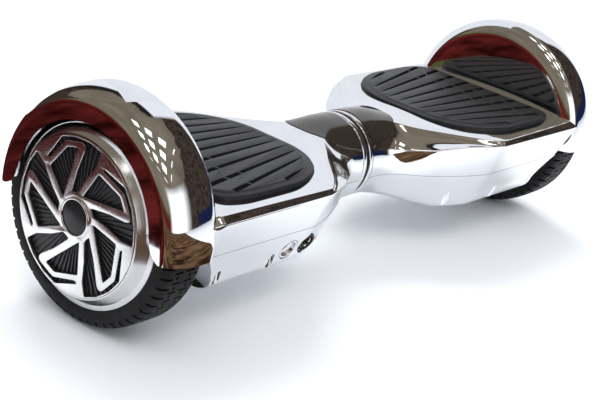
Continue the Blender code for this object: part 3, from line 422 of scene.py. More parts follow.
def section(along, upper, inset, parting):
    """Closed half outline (y, z) of one shell, from the middle round to the parting line."""
    split = parting_share(along, parting)
    if upper:
        points, drop = upper_half(along)
        points += [side_point(along, share) for share in steps(8, drop, split)]
        reach = points[0][1] - parting
    else:
        shares = steps(5, split, CORNER_FROM)[:-1]
        shares += steps(9, CORNER_FROM, CORNER_TO)[:-1] + steps(6, CORNER_TO, 1.0)
        points = [side_point(along, share) for share in shares]
        reach = parting - points[-1][1]
    widest = max(point[0] for point in points)
    narrow = (widest - inset) / widest
    lower = (reach - inset) / reach
    return [(y * narrow, parting + (z - parting) * lower) for y, z in points]


END_STEP = 0.6 * MM                 # the belly's end behind the wheel wall's back
END_CURVE = 2.2                     # how late its slope sets in, going up
PARTING_RISE = 0.55                 # share of the parting's depth left at the skirt's end


def end_reach(height):
    """How far out the end of the lower shell stands at a height, for the sloping end."""
    share = (height - FLOOR_HEIGHT) / (PARTING - FLOOR_HEIGHT)
    share = min(1.0, max(0.0, share))
    return WALL_BACK - END_STEP - END_SLOPE * (1.0 - share ** END_CURVE)


def skin(upper, inset=0.0, start=None, end=SKIRT_END, overshoot=0.0, sloped=False):
    """A closed solid inside the body's outer surface, drawn in by inset."""
    start = NECK_END if start is None else start
    # rows along the body: the taper, closer ones round its corner, then the straight part
    stations = [start, FLARE_X * 0.6] + steps(26, FLARE_X, CORNER_X - 8.0 * MM)
    stations += steps(8, CORNER_X - 6.0 * MM, CORNER_X + 6.0 * MM)
    stations += steps(9, CORNER_X + 16.0 * MM, WALL_X - 2.0 * MM)
    if upper and end > WALL_X + 1.0 * MM:
        stations += steps(5, WALL_BACK, end)
    else:
        stations.append(end)
    shape = bmesh.new()
    rows = []
    for along in stations:
        parting, fade = PARTING, 0.0
        if upper and along > WALL_BACK:
            rise = (along - WALL_BACK) / (SKIRT_END - WALL_BACK)
            parting = mix(PARTING, PARTING * PARTING_RISE, rise)
            fade = SKIRT_FADE * rise
        half = section(along, upper, inset + fade, parting)
        if overshoot:
            rim = half[-1] if upper else half[0]
            extra = (rim[0], rim[1] + overshoot)
            half = half + [extra] if upper else [extra] + half
        row = []
        for y, z in half:
            x = along
            if sloped and along > CORNER_X:
                x = mix(CORNER_X, end_reach(z) - inset, (along - CORNER_X) / (end - CORNER_X))
            front = shape.verts.new((x, -y, z))
            row.append((front, front if y < 1e-9 else shape.verts.new((x, y, z))))
        rows.append(row)
    for here, there in zip(rows, rows[1:]):
        for index in range(len(here) - 1):
            for hand in (0, 1):
                shape.faces.new((here[index][hand], here[index + 1][hand],
                                 there[index + 1][hand], there[index][hand]))
        rim = -1 if upper else 0
        shape.faces.new((here[rim][0], here[rim][1], there[rim][1], there[rim][0]))
    for row in (rows[0], rows[-1]):
        for first, second in zip(row, row[1:]):
            corners = [first[0], first[1], second[1], second[0]]
            shape.faces.new(list(dict.fromkeys(corners)))
    bmesh.ops.triangulate(shape, faces=[face for face in shape.faces if len(face.verts) > 3])
    return shape


ARCH_FLAT = 4.0 * MM                # between the arch's cove and its crown
ARCH_STEPS = 14                     # points on each of the two
LIP_SHARES = (0.08, 0.4, 0.7, 1.0)


def arch_curve(inset=0.0):
    """The wheel arch from the wheel wall over the crown to the lip, as (along, radius)."""
    cove_x = WALL_X + COVE_WIDTH
    crown_x = cove_x + ARCH_FLAT
    points = []
    for share in steps(ARCH_STEPS):
        turn = share * pi / 2.0
        points.append((cove_x - (COVE_WIDTH - inset) * cos(turn),
                       DISC_RADIUS + (ARCH_COVE - inset) * sin(turn)))
    for share in steps(ARCH_STEPS):
        turn = share * pi / 2.0
        points.append((crown_x + (ARCH_OUT - crown_x - inset) * sin(turn),
                       CREASE_RADIUS + (ARCH_CROWN - inset) * cos(turn)))
    return points + [(ARCH_OUT - inset, mix(CREASE_RADIUS, LIP_RADIUS, share))
                     for share in LIP_SHARES]


PAD_CORNER = 14.0 * MM


def pad_outline(grow=0.0):
    """Plan of the foot pad as (along, y), its corners eased."""
    half = [
        (pad_high.x, WAIST_HALF - 22.7 * MM),
        (pad_high.x - 23.0 * MM, WAIST_HALF - 15.2 * MM),
        (CORNER_X + 24.0 * MM, WAIST_HALF - 15.2 * MM),
        (CORNER_X + 2.0 * MM, WAIST_HALF - 22.2 * MM),
        (CORNER_X - 14.0 * MM, WAIST_HALF - 32.7 * MM),
        (CORNER_X - 27.0 * MM, WAIST_HALF - 49.7 * MM),
        (CORNER_X - 33.0 * MM, WAIST_HALF - 67.7 * MM),
    ]
    loop = half + [(x, -y) for x, y in reversed(half)]
    middle = (pad_low.x + pad_high.x) / 2.0
    moved = []
    for x, y in loop:
        reach = Vector((x - middle, y))
        reach += reach.normalized() * grow
        moved.append((middle + reach.x, reach.y))
    return rounded(moved, PAD_CORNER, 6)


COVER_START = NECK_END + 1.5 * MM
COVER_LENGTH = 47.0 * MM
COVER_HALVES = (32.5 * MM, 32.0 * MM, 31.5 * MM)   # at the neck, 4 mm on, and of the round end
COVER_POWERS = (0.9, 0.75)          # how full the round end is, along and across


def cover_outline(grow=0.0):
    """Plan of the indicator cover: wide at the neck, rounded towards the deck."""
    start, length = COVER_START - grow, COVER_LENGTH + grow
    first, second, third = (half_width + grow for half_width in COVER_HALVES)
    half = [(start, first)]
    for share in steps(18):
        turn = share * pi / 2.0
        half.append((start + length * sin(turn) ** COVER_POWERS[0],
                     third * cos(turn) ** COVER_POWERS[1]))
    half[1] = (start + 4.0 * MM, second)
    half[-1] = (half[-1][0], 0.0)
    return half + [(x, -y) for x, y in reversed(half[:-1])]


# ---------------------------------------------------------------- shells
SCREW_RADIUS = 3.1 * MM
SCREW_BOSS = 5.4 * MM
SCREW_DEPTH = 3.2 * MM              # screw axis inside the skin at the mouth of its pocket
SCREW_ROOF = -19.0 * MM
BOSS_ROOF = 3.0 * MM                # thickness of the roof that the screw's head meets
SCREW_PLACES = (92.0 * MM, 155.0 * MM, 214.0 * MM)
LAMP_LOW, LAMP_HIGH = 3.0 * MM, 13.0 * MM
LAMP_START, LAMP_END = CORNER_X + 24.0 * MM, WALL_X - 33.0 * MM
LAMP_CORNER = 4.5 * MM
LIP_ROUND = 15.0 * MM
TURNED_STEPS = 160                  # facets round the wheel arch
AXLE_CLEARANCE = 1.2 * MM           # round the axle, where it passes the wheel wall


def patch(block, proud, depth):
    """A piece of the body's skin inside a block, from proud of the surface down to depth."""
    piece = scratch(block)
    combine(piece, scratch(skin(True, -proud)), "INTERSECT")
    return combine(piece, scratch(skin(True, depth)))


def cover_block(grow=0.0):
    return extruded(cover_outline(grow), NECK_RADIUS * 0.35, 2.0 * NECK_RADIUS)


def lamp_block(grow=0.0):
    outline = [(LAMP_START - grow, LAMP_LOW - grow), (LAMP_END + grow, LAMP_LOW - grow),
               (LAMP_END + grow, LAMP_HIGH + grow), (LAMP_START - grow, LAMP_HIGH + grow)]
    return extruded(rounded(outline, LAMP_CORNER, 6), WAIST_HALF * 0.6, WAIST_HALF * 1.2, sideways)


def make_upper_shell():
    """Deck, sides and wheel arch of the right half as one thin moulding."""
    shell = scratch(skin(True))
    combine(shell, scratch(skin(True, SHELL_WALL, NECK_END - 4.0 * MM, WALL_X - 0.1 * MM,
                                -6.0 * MM)))
    far, back = ARCH_OUT + 20.0 * MM, WALL_BACK - 0.1 * MM
    space = [(back, 0.0), (back, DISC_RADIUS - 4.0 * MM)] + arch_curve(SHELL_WALL - 0.2 * MM)[1:]
    combine(shell, scratch(turned(space + [(far, LIP_RADIUS), (far, 0.0)], TURNED_STEPS)))
    hole = AXLE_RADIUS * 0.5
    arch = arch_curve() + list(reversed(arch_curve(SHELL_WALL)))
    arch = [(WALL_X, hole)] + arch + [(WALL_BACK, hole)]
    sweep = 180.0 - 2.0 * ARCH_START
    combine(shell, scratch(turned(arch, TURNED_STEPS, ARCH_START, sweep)), "UNION")
    notch = AXLE_RADIUS + AXLE_CLEARANCE
    slot = [(notch * cos(pi * share), notch * sin(pi * share)) for share in steps(16)]
    slot += [(-notch, PARTING - 20.0 * MM), (notch, PARTING - 20.0 * MM)]
    combine(shell, scratch(extruded(slot, WALL_X - 8.0 * MM, WALL_BACK + 1.0 * MM, across)))
    foot = ARCH_RADIUS * sin(radians(ARCH_START))
    for hand in (-1.0, 1.0):
        bottom = foot - 4.0 * MM
        arc = [(LIP_RADIUS + LIP_ROUND * (1.0 - cos(turn)), foot + LIP_ROUND * (1.0 - sin(turn)))
               for turn in steps(10, 0.0, pi / 2.0)]
        loop = [(LIP_RADIUS - 3.0 * MM, foot + LIP_ROUND)] + arc
        loop += [(LIP_RADIUS + LIP_ROUND, bottom), (LIP_RADIUS - 3.0 * MM, bottom)]
        loop = [(hand * y, z) for y, z in loop]
        corner = extruded(loop, WALL_BACK + 6.0 * MM, ARCH_OUT + 5.0 * MM, across)
        combine(shell, scratch(corner))
    combine(shell, scratch(extruded(pad_outline(PAD_GAP), 0.0, 80.0 * MM)))
    combine(shell, patch(cover_block(GAP), COVER_PROUD + 1.0 * MM, COVER_DEPTH + GAP))
    return combine(shell, scratch(lamp_block(GAP)))


def screw_side(along):
    """Distance of a screw's axis from the middle plane."""
    share = parting_share(along, PORT_HEIGHT)
    return side_point(along, share)[0] - SCREW_DEPTH


def make_lower_shell():
    """Belly of the right half with its screw pockets."""
    outer = skin(False, 0.0, None, WALL_X, 0.0, True)
    bmesh.ops.translate(outer, vec=(0.0, 0.0, -GAP), verts=outer.verts)
    shell = scratch(outer)
    solid = linked("solid", shell.data.copy())
    combine(shell, scratch(skin(False, SHELL_WALL, NECK_END - 4.0 * MM, WALL_X, 6.0 * MM, True)))
    bosses, bores = bmesh.new(), bmesh.new()
    for along in SCREW_PLACES:
        for hand in (-1.0, 1.0):
            centre = (along, hand * screw_side(along))
            for group, radius, top in ((bosses, SCREW_BOSS, SCREW_ROOF + BOSS_ROOF),
                                       (bores, SCREW_RADIUS, SCREW_ROOF)):
                add_prism(group, circle(radius, 28, centre), FLOOR_HEIGHT - 5.0 * MM, top)
    boss = combine(scratch(bosses), solid, "INTERSECT")
    combine(shell, boss, "UNION")
    return combine(shell, scratch(bores))


def side_frame(along, height):
    """Matrix at a point of the -Y side, with its Z axis pointing out of the surface."""
    out = Vector((0.0, -cos(SIDE_ANGLE), -sin(SIDE_ANGLE)))
    right = Vector((1.0, 0.0, 0.0))
    turn = Matrix((right, out.cross(right), out)).transposed().to_4x4()
    return Matrix.Translation((along, -side_depth(height), height)) @ turn


def port_piece(along, profile, segments=48):
    """A turned piece standing in the side, its (depth, radius) outline measured outwards."""
    shape = turned(profile, segments)
    shape.transform(side_frame(along, PORT_HEIGHT) @ Matrix.Rotation(-pi / 2.0, 4, "Y"))
    return shape


RING_WALL, RING_PROUD, RING_CROWN = 7.0 * MM, 0.4 * MM, 1.0 * MM


def make_ring():
    """Bright ring at the neck's end, crowned on the outside."""
    start, end = ring_low.x, ring_high.x
    inner, crest = NECK_RADIUS - RING_WALL, NECK_RADIUS + RING_PROUD
    middle, half = (start + end) / 2.0, (end - start) / 2.0
    profile = [(start, inner)]
    profile += [(middle - half * cos(turn), crest - RING_CROWN + RING_CROWN * sin(turn) ** 0.6)
                for turn in steps(14, 0.0, pi)]
    return scratch(turned(profile + [(end, inner)], 128))


# ---------------------------------------------------------------- foot pad
PAD_BORDER = 6.0 * MM
PAD_GROOVES = 11
GROOVE_PITCH = 10.3 * MM            # between the grooves' thin ends
GROOVE_FAN = 5.5                    # how fast they spread: share of their offset, per metre
GROOVE_DEPTH = 3.2 * MM
GROOVE_THIN, GROOVE_WIDE = 1.8 * MM, 5.4 * MM
PAD_BARS = ((178.0 * MM, 196.0 * MM), (187.0 * MM, 206.0 * MM))
BAR_WIDTH = 2.2 * MM
BAR_LEAN = 0.6 * BAR_WIDTH
BAR_CLEAR = (12.0 * MM, 5.0 * MM)   # no bar this close to a groove's start or end
FIELD_EDGE = 1.6 * MM               # from the border to the grooves
THIN_START, THIN_LENGTH = 0.15, 14.0 * MM
PAD_EDGE = (                        # (in from the outline, below the top), going up
    (0.0, 2.2 * MM), (-0.5 * MM, 1.6 * MM), (-1.4 * MM, 1.3 * MM),
    (-PAD_BORDER + 1.2 * MM, 0.9 * MM), (-PAD_BORDER, 0.5 * MM), (-PAD_BORDER - 0.7 * MM, 0.0),
)


def inside(outline, x, y):
    """Whether a point lies in a closed outline."""
    found = False
    for (ax, ay), (bx, by) in zip(outline, outline[1:] + outline[:1]):
        if (ay > y) != (by > y) and x < ax + (bx - ax) * (y - ay) / (by - ay):
            found = not found
    return found


def make_pad():
    """Rubber pad: a sloped border round a field of strips that fan out towards the wheel."""
    shape = bmesh.new()
    levels = [(0.0, PAD_BOTTOM)] + [(grow, PAD_TOP - below) for grow, below in PAD_EDGE]
    rings = [[shape.verts.new((x, y, height)) for x, y in pad_outline(grow)]
             for grow, height in levels]
    for low, high in zip(rings, rings[1:]):
        add_walls(shape, low, high)
    shape.faces.new(rings[0])
    shape.faces.new(rings[-1])
    pad = scratch(shape)
    field = pad_outline(-PAD_BORDER - FIELD_EDGE)
    grooves = bmesh.new()
    for number in range(PAD_GROOVES):
        offset = (number - (PAD_GROOVES - 1) / 2.0) * GROOVE_PITCH
        reach = [x for x in steps(280, pad_low.x, pad_high.x)
                 if inside(field, x, offset * (1.0 + GROOVE_FAN * (x - pad_low.x)))]
        if not reach:
            continue
        start, end = reach[0], reach[-1]
        first, last = start + BAR_CLEAR[0], end - BAR_CLEAR[1]
        stops = [start] + [bar for bar in PAD_BARS[number % 2] if first < bar < last]
        stops.append(end + BAR_WIDTH)
        for near, far in zip(stops, stops[1:]):
            near = near + (BAR_WIDTH / 2.0 if near > start else 0.0)
            far = far - BAR_WIDTH / 2.0
            sides = []
            for x in steps(6, near, far):
                share = (x - pad_low.x) / (pad_high.x - pad_low.x)
                half = mix(GROOVE_THIN, GROOVE_WIDE, share) / 2.0
                if near == start:
                    half *= min(1.0, THIN_START + (x - near) / THIN_LENGTH)
                middle = offset * (1.0 + GROOVE_FAN * (x - pad_low.x))
                sides.append((x, middle, half))
            lean = BAR_LEAN if near > start else 0.0
            outline = [(x - lean, middle - half) for x, middle, half in sides]
            outline += [(x, middle + half) for x, middle, half in reversed(sides)]
            add_prism(grooves, outline, PAD_TOP - GROOVE_DEPTH, PAD_TOP + 2.0 * MM)
    combine(pad, scratch(grooves))
    soften = pad.modifiers.new("soften", "BEVEL")
    soften.width = 0.35 * MM
    soften.segments = 2
    soften.limit_method = "ANGLE"
    soften.angle_limit = radians(50.0)
    return bake_modifiers(pad)


# ---------------------------------------------------------------- wheels
TREAD_PITCHES = 60
BEAD_RADIUS = TYRE_RADIUS - 16.7 * MM
FLANGE_RADIUS = BEAD_RADIUS + 2.7 * MM
BORE_RADIUS = BEAD_RADIUS - 8.3 * MM
FLANGE_X = TYRE_OUT - 0.8 * MM
RIM_IN = TYRE_IN + 2.5 * MM
PETALS = 5
PETAL_WINDOW = ((0.30, -59.0), (0.72, -49.0), (0.857, -20.0), (0.86, -8.0))
PETAL_GAP = (
    (0.31, -24.0), (0.60, -7.0), (0.86, 0.5), (0.92, 0.0), (0.945, -3.0), (0.935, -20.5),
    (0.80, -45.5), (0.835, -47.5), (0.985, -24.0), (0.985, -10.0), (0.985, 4.0),
    (0.98, 17.0), (0.79, 17.5), (0.52, 9.0), (0.31, -3.0),
)
PETAL_CORNER = 1.5 * MM
DISC_RIBS = 72
SHOULDER_X, SHOULDER_RISE = 8.0 * MM, 5.3 * MM   # size of the tread's rounded shoulders
SHOULDER_FOOT = TYRE_RADIUS - 5.5 * MM
NOTCH_WIDTH, NOTCH_DEEP = 2.0 * MM, (1.6 * MM, 6.4 * MM)
SLOT_WIDTH, SLOT_DEEP, SLOT_SPAN = 1.7 * MM, (1.5 * MM, 1.8 * MM), (1.5 * MM, 9.5 * MM)
CROSS_OFFSET, CROSS_HALF = 6.0 * MM, 0.8 * MM
CROSS_WIDTH, CROSS_DEPTH = 3.4 * MM, 1.5 * MM


def make_tyre():
    """Solid tyre with shoulder notches, staggered slots and short cross slots."""
    low, high = TYRE_IN, TYRE_OUT
    seat, flange = BEAD_RADIUS + GAP, FLANGE_RADIUS + GAP
    shoulder = mix(seat, TYRE_RADIUS, 0.42)
    profile = [(low + 3.0 * MM, seat), (low + 0.8 * MM, seat + 1.5 * MM), (low, shoulder)]
    for turn in steps(10, 0.0, pi / 2.0):
        profile.append((low + 0.6 * MM + SHOULDER_X * (1.0 - cos(turn)),
                        SHOULDER_FOOT + SHOULDER_RISE * sin(turn)))
    profile.append((TYRE_MIDDLE, TYRE_RADIUS))
    for turn in steps(10, pi / 2.0, 0.0):
        profile.append((high - 0.8 * MM - SHOULDER_X * (1.0 - cos(turn)),
                        SHOULDER_FOOT + SHOULDER_RISE * sin(turn)))
    edge = FLANGE_X - 4.3 * MM
    profile += [(high, shoulder), (high - 0.3 * MM, flange + 1.4 * MM), (FLANGE_X, flange),
                (edge, flange), (edge, seat)]
    tyre = scratch(turned(profile, 240))
    cuts = bmesh.new()

    def slot(near, far, angle, width, deep_near, deep_far):
        """A groove across the tread, its floor sloping from one end to the other."""
        top = TYRE_RADIUS + 3.0 * MM
        corners = [(near, TYRE_RADIUS - deep_near), (near, top), (far, top),
                   (far, TYRE_RADIUS - deep_far)]
        turns = [angle + half_way * width / TYRE_RADIUS for half_way in (-0.5, 0.5)]
        add_block(cuts, *([(along, -radius * cos(turn), radius * sin(turn))
                           for along, radius in corners] for turn in turns))

    for pitch in range(TREAD_PITCHES):
        angle = 2.0 * pi * pitch / TREAD_PITCHES
        half = pi / TREAD_PITCHES
        shallow, deep = NOTCH_DEEP
        slot(high - 9.0 * MM, high + 1.0 * MM, angle, NOTCH_WIDTH, shallow, deep)
        slot(low - 1.0 * MM, low + 9.0 * MM, angle, NOTCH_WIDTH, deep, shallow)
        (near, far), (shallow, deep) = SLOT_SPAN, SLOT_DEEP
        slot(TYRE_MIDDLE + near, TYRE_MIDDLE + far, angle + half, SLOT_WIDTH, shallow, deep)
        slot(TYRE_MIDDLE - far, TYRE_MIDDLE - near, angle + half, SLOT_WIDTH, deep, shallow)
        for middle in (TYRE_MIDDLE - CROSS_OFFSET, TYRE_MIDDLE + CROSS_OFFSET):
            slot(middle - CROSS_HALF, middle + CROSS_HALF, angle, CROSS_WIDTH, CROSS_DEPTH,
                 CROSS_DEPTH)
    return combine(tyre, scratch(cuts))


def make_rim():
    """Rim and motor drum with its polished cone."""
    lip = RIM_OUT
    bearing = AXLE_RADIUS + 8.6 * MM
    profile = [
        (RIM_IN, bearing), (RIM_IN, BEAD_RADIUS - 0.8 * MM), (RIM_IN + 0.8 * MM, BEAD_RADIUS),
        (FLANGE_X - 4.0 * MM, BEAD_RADIUS), (FLANGE_X - 4.0 * MM, FLANGE_RADIUS - 0.3 * MM),
        (FLANGE_X - 0.5 * MM, FLANGE_RADIUS), (FLANGE_X, FLANGE_RADIUS - 0.5 * MM),
        (FLANGE_X + 1.2 * MM, FLANGE_RADIUS - 3.6 * MM),
        (FLANGE_X + 1.1 * MM, FLANGE_RADIUS - 4.0 * MM),
        (FLANGE_X + 1.6 * MM, FLANGE_RADIUS - 4.4 * MM),
        (mix(FLANGE_X, lip, 0.62), mix(FLANGE_RADIUS, BORE_RADIUS, 0.70)),
        (lip - 0.3 * MM, BORE_RADIUS + 1.2 * MM), (lip, BORE_RADIUS + 0.8 * MM), (lip, BORE_RADIUS),
        (RIM_IN + 3.0 * MM, BORE_RADIUS), (RIM_IN + 3.0 * MM, bearing)]
    return scratch(turned(profile, 192))


def petal_loop(pattern, petal):
    """One hole of the petal pattern as a (y, z) loop with eased corners."""
    loop = []
    for share, angle in pattern:
        turn = radians(angle + 360.0 / PETALS * petal)
        loop.append((-COVER_RADIUS * share * sin(turn), COVER_RADIUS * share * cos(turn)))
    return rounded(loop, PETAL_CORNER, 3)


def make_wheel_cover():
    """Plate with five petals, its edges chamfered."""
    plate = bpy.data.curves.new("plate", "CURVE")
    plate.dimensions = "2D"
    plate.fill_mode = "BOTH"
    chamfer = 0.45 * MM
    plate.extrude = (FACE_X - COVER_BACK) / 2.0 - chamfer
    plate.bevel_depth = chamfer
    plate.bevel_resolution = 2
    plate.offset = -chamfer
    loops = [circle(COVER_RADIUS, 160), circle(HUB_RING_RADIUS - 1.0 * MM, 60)]
    for petal in range(PETALS):
        loops += [petal_loop(PETAL_WINDOW, petal), petal_loop(PETAL_GAP, petal)]
    for loop in loops:
        spline = plate.splines.new("POLY")
        spline.points.add(len(loop) - 1)
        for point, (y, z) in zip(spline.points, loop):
            point.co = (y, z, 0.0, 1.0)
        spline.use_cyclic_u = True
    curve = linked("plate", plate)
    mesh = evaluated_mesh(curve)
    bpy.data.objects.remove(curve)
    turn = Matrix(((0, 0, 1, 0), (1, 0, 0, 0), (0, 1, 0, 0), (0, 0, 0, 1)))
    mesh.transform(Matrix.Translation(((FACE_X + COVER_BACK) / 2.0, 0.0, 0.0)) @ turn)
    shape = bmesh.new()
    shape.from_mesh(mesh)
    bmesh.ops.remove_doubles(shape, verts=shape.verts, dist=1e-6)
    bpy.data.meshes.remove(mesh)
    return scratch(shape)


def make_disc():
    """Black disc behind the petals, with fine radial ribs."""
    back, front = COVER_BACK - 3.8 * MM, COVER_BACK - 2.0 * MM
    radius = COVER_RADIUS - 0.2 * MM
    disc = scratch(turned([(back, 0.0), (back, radius), (front, radius), (front, 0.0)], 144))
    ribs = bmesh.new()
    for rib in range(DISC_RIBS):
        turn = 2.0 * pi * rib / DISC_RIBS
        axis, side = Vector((0.0, cos(turn), sin(turn))), Vector((0.0, -sin(turn), cos(turn)))
        half = 0.45 * MM
        near, far = 17.0 * MM, radius - 1.5 * MM
        ends = [axis * near + side * half, axis * far + side * half * 1.6,
                axis * far - side * half * 1.6, axis * near - side * half]
        add_block(ribs, *([end + Vector((level, 0.0, 0.0)) for end in ends]
                          for level in (front - 0.4 * MM, front + 1.2 * MM)))
    return combine(disc, scratch(ribs), "UNION")


HUB_RING_WALL = 1.8 * MM
HUB_CROWN = 0.9 * MM


def make_hub_cap():
    """Domed black cap in the middle of the wheel, just below its ring."""
    radius, top = HUB_RING_RADIUS - HUB_RING_WALL - GAP, CAP_X - 0.2 * MM
    crown = [(top - HUB_CROWN * share ** 2, radius * share) for share in steps(8, 1.0, 0.0)]
    profile = [(COVER_BACK, 0.0), (COVER_BACK, radius)] + crown
    return scratch(turned(profile, 96))


def make_hub_ring():
    """Bright ring round the hub cap."""
    outer, inner = HUB_RING_RADIUS, HUB_RING_RADIUS - HUB_RING_WALL
    middle, half = (outer + inner) / 2.0, (outer - inner) / 2.0
    crown = [(CAP_X - HUB_CROWN + HUB_CROWN * sin(turn), middle + half * cos(turn))
             for turn in steps(10, 0.0, pi)]
    return scratch(turned([(COVER_BACK, inner), (COVER_BACK, outer)] + crown, 96))


# ---------------------------------------------------------------- small outside pieces
LENS_DEPTH = 1.6 * MM
FLUTES = 22
FLUTE_RADIUS, FLUTE_PROUD = 0.55 * MM, 0.25 * MM


def make_lamp():
    """Clear lens set in the side, fluted on its outer face."""
    lamp = patch(lamp_block(), 0.0, LENS_DEPTH)
    flutes = bmesh.new()
    low, high = LAMP_LOW - 1.0 * MM, LAMP_HIGH + 1.0 * MM
    lean = SIDE_SLANT * (high - low)
    for along in steps(FLUTES, LAMP_START + 3.0 * MM, LAMP_END - 3.0 * MM):
        cutter = circle(FLUTE_RADIUS, 8, (along, side_depth(LAMP_LOW) + FLUTE_PROUD))
        add_block(flutes, [(a, b, low) for a, b in cutter],
                  [(a, b + lean, high) for a, b in cutter])
    return combine(lamp, scratch(flutes))


SHANK_RADIUS = 1.4 * MM
CROSS_LONG, CROSS_WIDE = 1.6 * MM, 0.32 * MM     # half sizes of one bar of the screw's cross


def make_screw(along, hand):
    """Cross-head screw up in its pocket, with the recess in its head."""
    head, shank = SCREW_RADIUS - 0.35 * MM, SHANK_RADIUS
    low, high = SCREW_ROOF - 2.6 * MM, SCREW_ROOF - 0.2 * MM
    profile = [(low, 0.0), (low, head * 0.55), (low + 0.5 * MM, head * 0.88),
               (low + 1.2 * MM, head), (high, head), (high + 0.15 * MM, shank),
               (high + 0.15 * MM, 0.0)]
    shape = turned(profile, 24)
    shape.transform(Matrix.Rotation(-pi / 2.0, 4, "Y"))
    screw = scratch(shape)
    for turn in (0.0, pi / 2.0):
        bar = extruded([(-CROSS_LONG, -CROSS_WIDE), (CROSS_LONG, -CROSS_WIDE),
                        (CROSS_LONG, CROSS_WIDE), (-CROSS_LONG, CROSS_WIDE)],
                       low - 1.0 * MM, low + 1.1 * MM)
        bar.transform(Matrix.Rotation(turn, 4, "Z"))
        combine(screw, scratch(bar))
    screw.data.transform(Matrix.Translation((along, hand * screw_side(along), 0.0)))
    return screw


BUTTON_COLLAR = PORT_RADIUS - 2.2 * MM
PIN_CIRCLE, PIN_RADIUS, PIN_NOSE = 2.9 * MM, 1.0 * MM, 0.6 * MM


def make_bezel():
    """Rounded bright rim round the power button."""
    rim, collar = PORT_RADIUS, BUTTON_COLLAR
    outer = [(-0.1 * MM + 0.7 * MM * sin(turn), mix(rim, collar, 0.5) + 1.1 * MM * cos(turn))
             for turn in steps(8, 0.0, pi)]
    return scratch(port_piece(BUTTON_X, [(-8.0 * MM, collar), (-8.0 * MM, rim)] + outer, 64))


def make_button():
    """Domed power button, a little below its rim."""
    cap, back = BUTTON_COLLAR - GAP, -6.0 * MM
    crown = [(-1.6 * MM + 0.9 * MM * (1.0 - share ** 2.4), cap * share * 0.94)
             for share in steps(8, 1.0, 0.0)]
    profile = [(back, 0.0), (back, cap), (-2.0 * MM, cap)] + crown
    return scratch(port_piece(BUTTON_X, profile, 64))


def make_socket():
    """Charging socket: a collar round a deep cup."""
    rim, collar = PORT_RADIUS, PORT_RADIUS - 2.0 * MM
    deep, floor, lip = -14.0 * MM, -10.0 * MM, -0.3 * MM
    profile = [(deep, 0.0), (deep, rim), (lip - 0.7 * MM, rim), (lip, rim - 0.7 * MM),
               (lip, collar + 0.5 * MM), (lip - 0.5 * MM, collar), (floor, collar), (floor, 0.0)]
    return scratch(port_piece(SOCKET_X, profile, 64))


def make_socket_ring():
    """Bright sleeve inside the collar of the charging socket."""
    outer, inner = PORT_RADIUS - 3.4 * MM, PORT_RADIUS - 4.2 * MM
    return scratch(port_piece(SOCKET_X, [(-10.4 * MM, inner), (-10.4 * MM, outer),
                                         (-1.6 * MM, outer), (-1.2 * MM, outer - 0.4 * MM),
                                         (-1.6 * MM, inner)]))


def make_pin(turn):
    """One contact pin of the charging socket."""
    pin = turned([(-10.6 * MM, 0.0), (-10.6 * MM, PIN_RADIUS), (-4.6 * MM, PIN_RADIUS),
                  (-4.0 * MM, PIN_NOSE), (-4.0 * MM, 0.0)], 20)
    pin.transform(Matrix.Translation((0.0, PIN_CIRCLE * cos(turn), PIN_CIRCLE * sin(turn))))
    pin.transform(side_frame(SOCKET_X, PORT_HEIGHT) @ Matrix.Rotation(-pi / 2.0, 4, "Y"))
    return scratch(pin)


# ---------------------------------------------------------------- materials
def feed(tree, node, **inputs):
    """Set a node's inputs to numbers, or link them to sockets; returns the node."""
    for key, value in inputs.items():
        socket = node.inputs[key.replace("_", " ")]
        if isinstance(value, bpy.types.NodeSocket):
            tree.links.new(value, socket)
        else:
            socket.default_value = value
    return node


def add_node(tree, kind, **inputs):
    """A new shader node, fed."""
    return feed(tree, tree.nodes.new("ShaderNode" + kind), **inputs)


def math_node(tree, operation, *values, clamp=False):
    """A Math node on sockets and numbers."""
    made = add_node(tree, "Math")
    made.operation = operation
    made.use_clamp = clamp
    for socket, value in zip(made.inputs, values):
        if isinstance(value, (int, float)):
            socket.default_value = value
        else:
            tree.links.new(value, socket)
    return made.outputs[0]


def make_material(name, metal, colour, rough, **settings):
    """A principled material; returns it with its tree, shader and object coordinates."""
    made = bpy.data.materials.new(name)
    made.use_nodes = True
    tree = made.node_tree
    shader = feed(tree, tree.nodes["Principled BSDF"], Metallic=metal, Base_Color=(*colour, 1.0),
                  Roughness=rough, **settings)
    return made, tree, shader, add_node(tree, "TexCoord").outputs["Object"]


def noise(tree, place, scale, detail=4.0, stretch=None, grain=0.55):
    """A noise texture's value, on coordinates that may be stretched."""
    if stretch:
        place = add_node(tree, "Mapping", Vector=place, Scale=stretch).outputs["Vector"]
    return add_node(tree, "TexNoise", Vector=place, Scale=scale, Detail=detail,
                    Roughness=grain).outputs["Fac"]


def spread(tree, value, low, high, before=0.3, after=0.7):
    """Map a value from before..after to low..high."""
    return add_node(tree, "MapRange", Value=value, From_Min=before, From_Max=after, To_Min=low,
                    To_Max=high).outputs["Result"]


def tint(tree, value, dark, light, low=0.3, high=0.7):
    """A colour ramp from dark to light."""
    made = add_node(tree, "ValToRGB", Fac=value)
    for stop, place, colour in zip(made.color_ramp.elements, (low, high), (dark, light)):
        stop.position = place
        stop.color = (*colour, 1.0)
    return made.outputs["Color"]


def bump(tree, shader, value, height):
    """Bump of a height in metres."""
    made = add_node(tree, "Bump", Height=value, Strength=1.0, Distance=height)
    feed(tree, shader, Normal=made.outputs["Normal"])


def radius_of(tree, place):
    """Distance from the axle, which is parallel to X."""
    flat = add_node(tree, "Mapping", Vector=place, Location=(0.0, 0.0, -AXLE_Z),
                    Scale=(0.0, 1.0, 1.0))
    size = add_node(tree, "VectorMath")
    size.operation = "LENGTH"
    return feed(tree, size, Vector=flat.outputs["Vector"]).outputs["Value"]


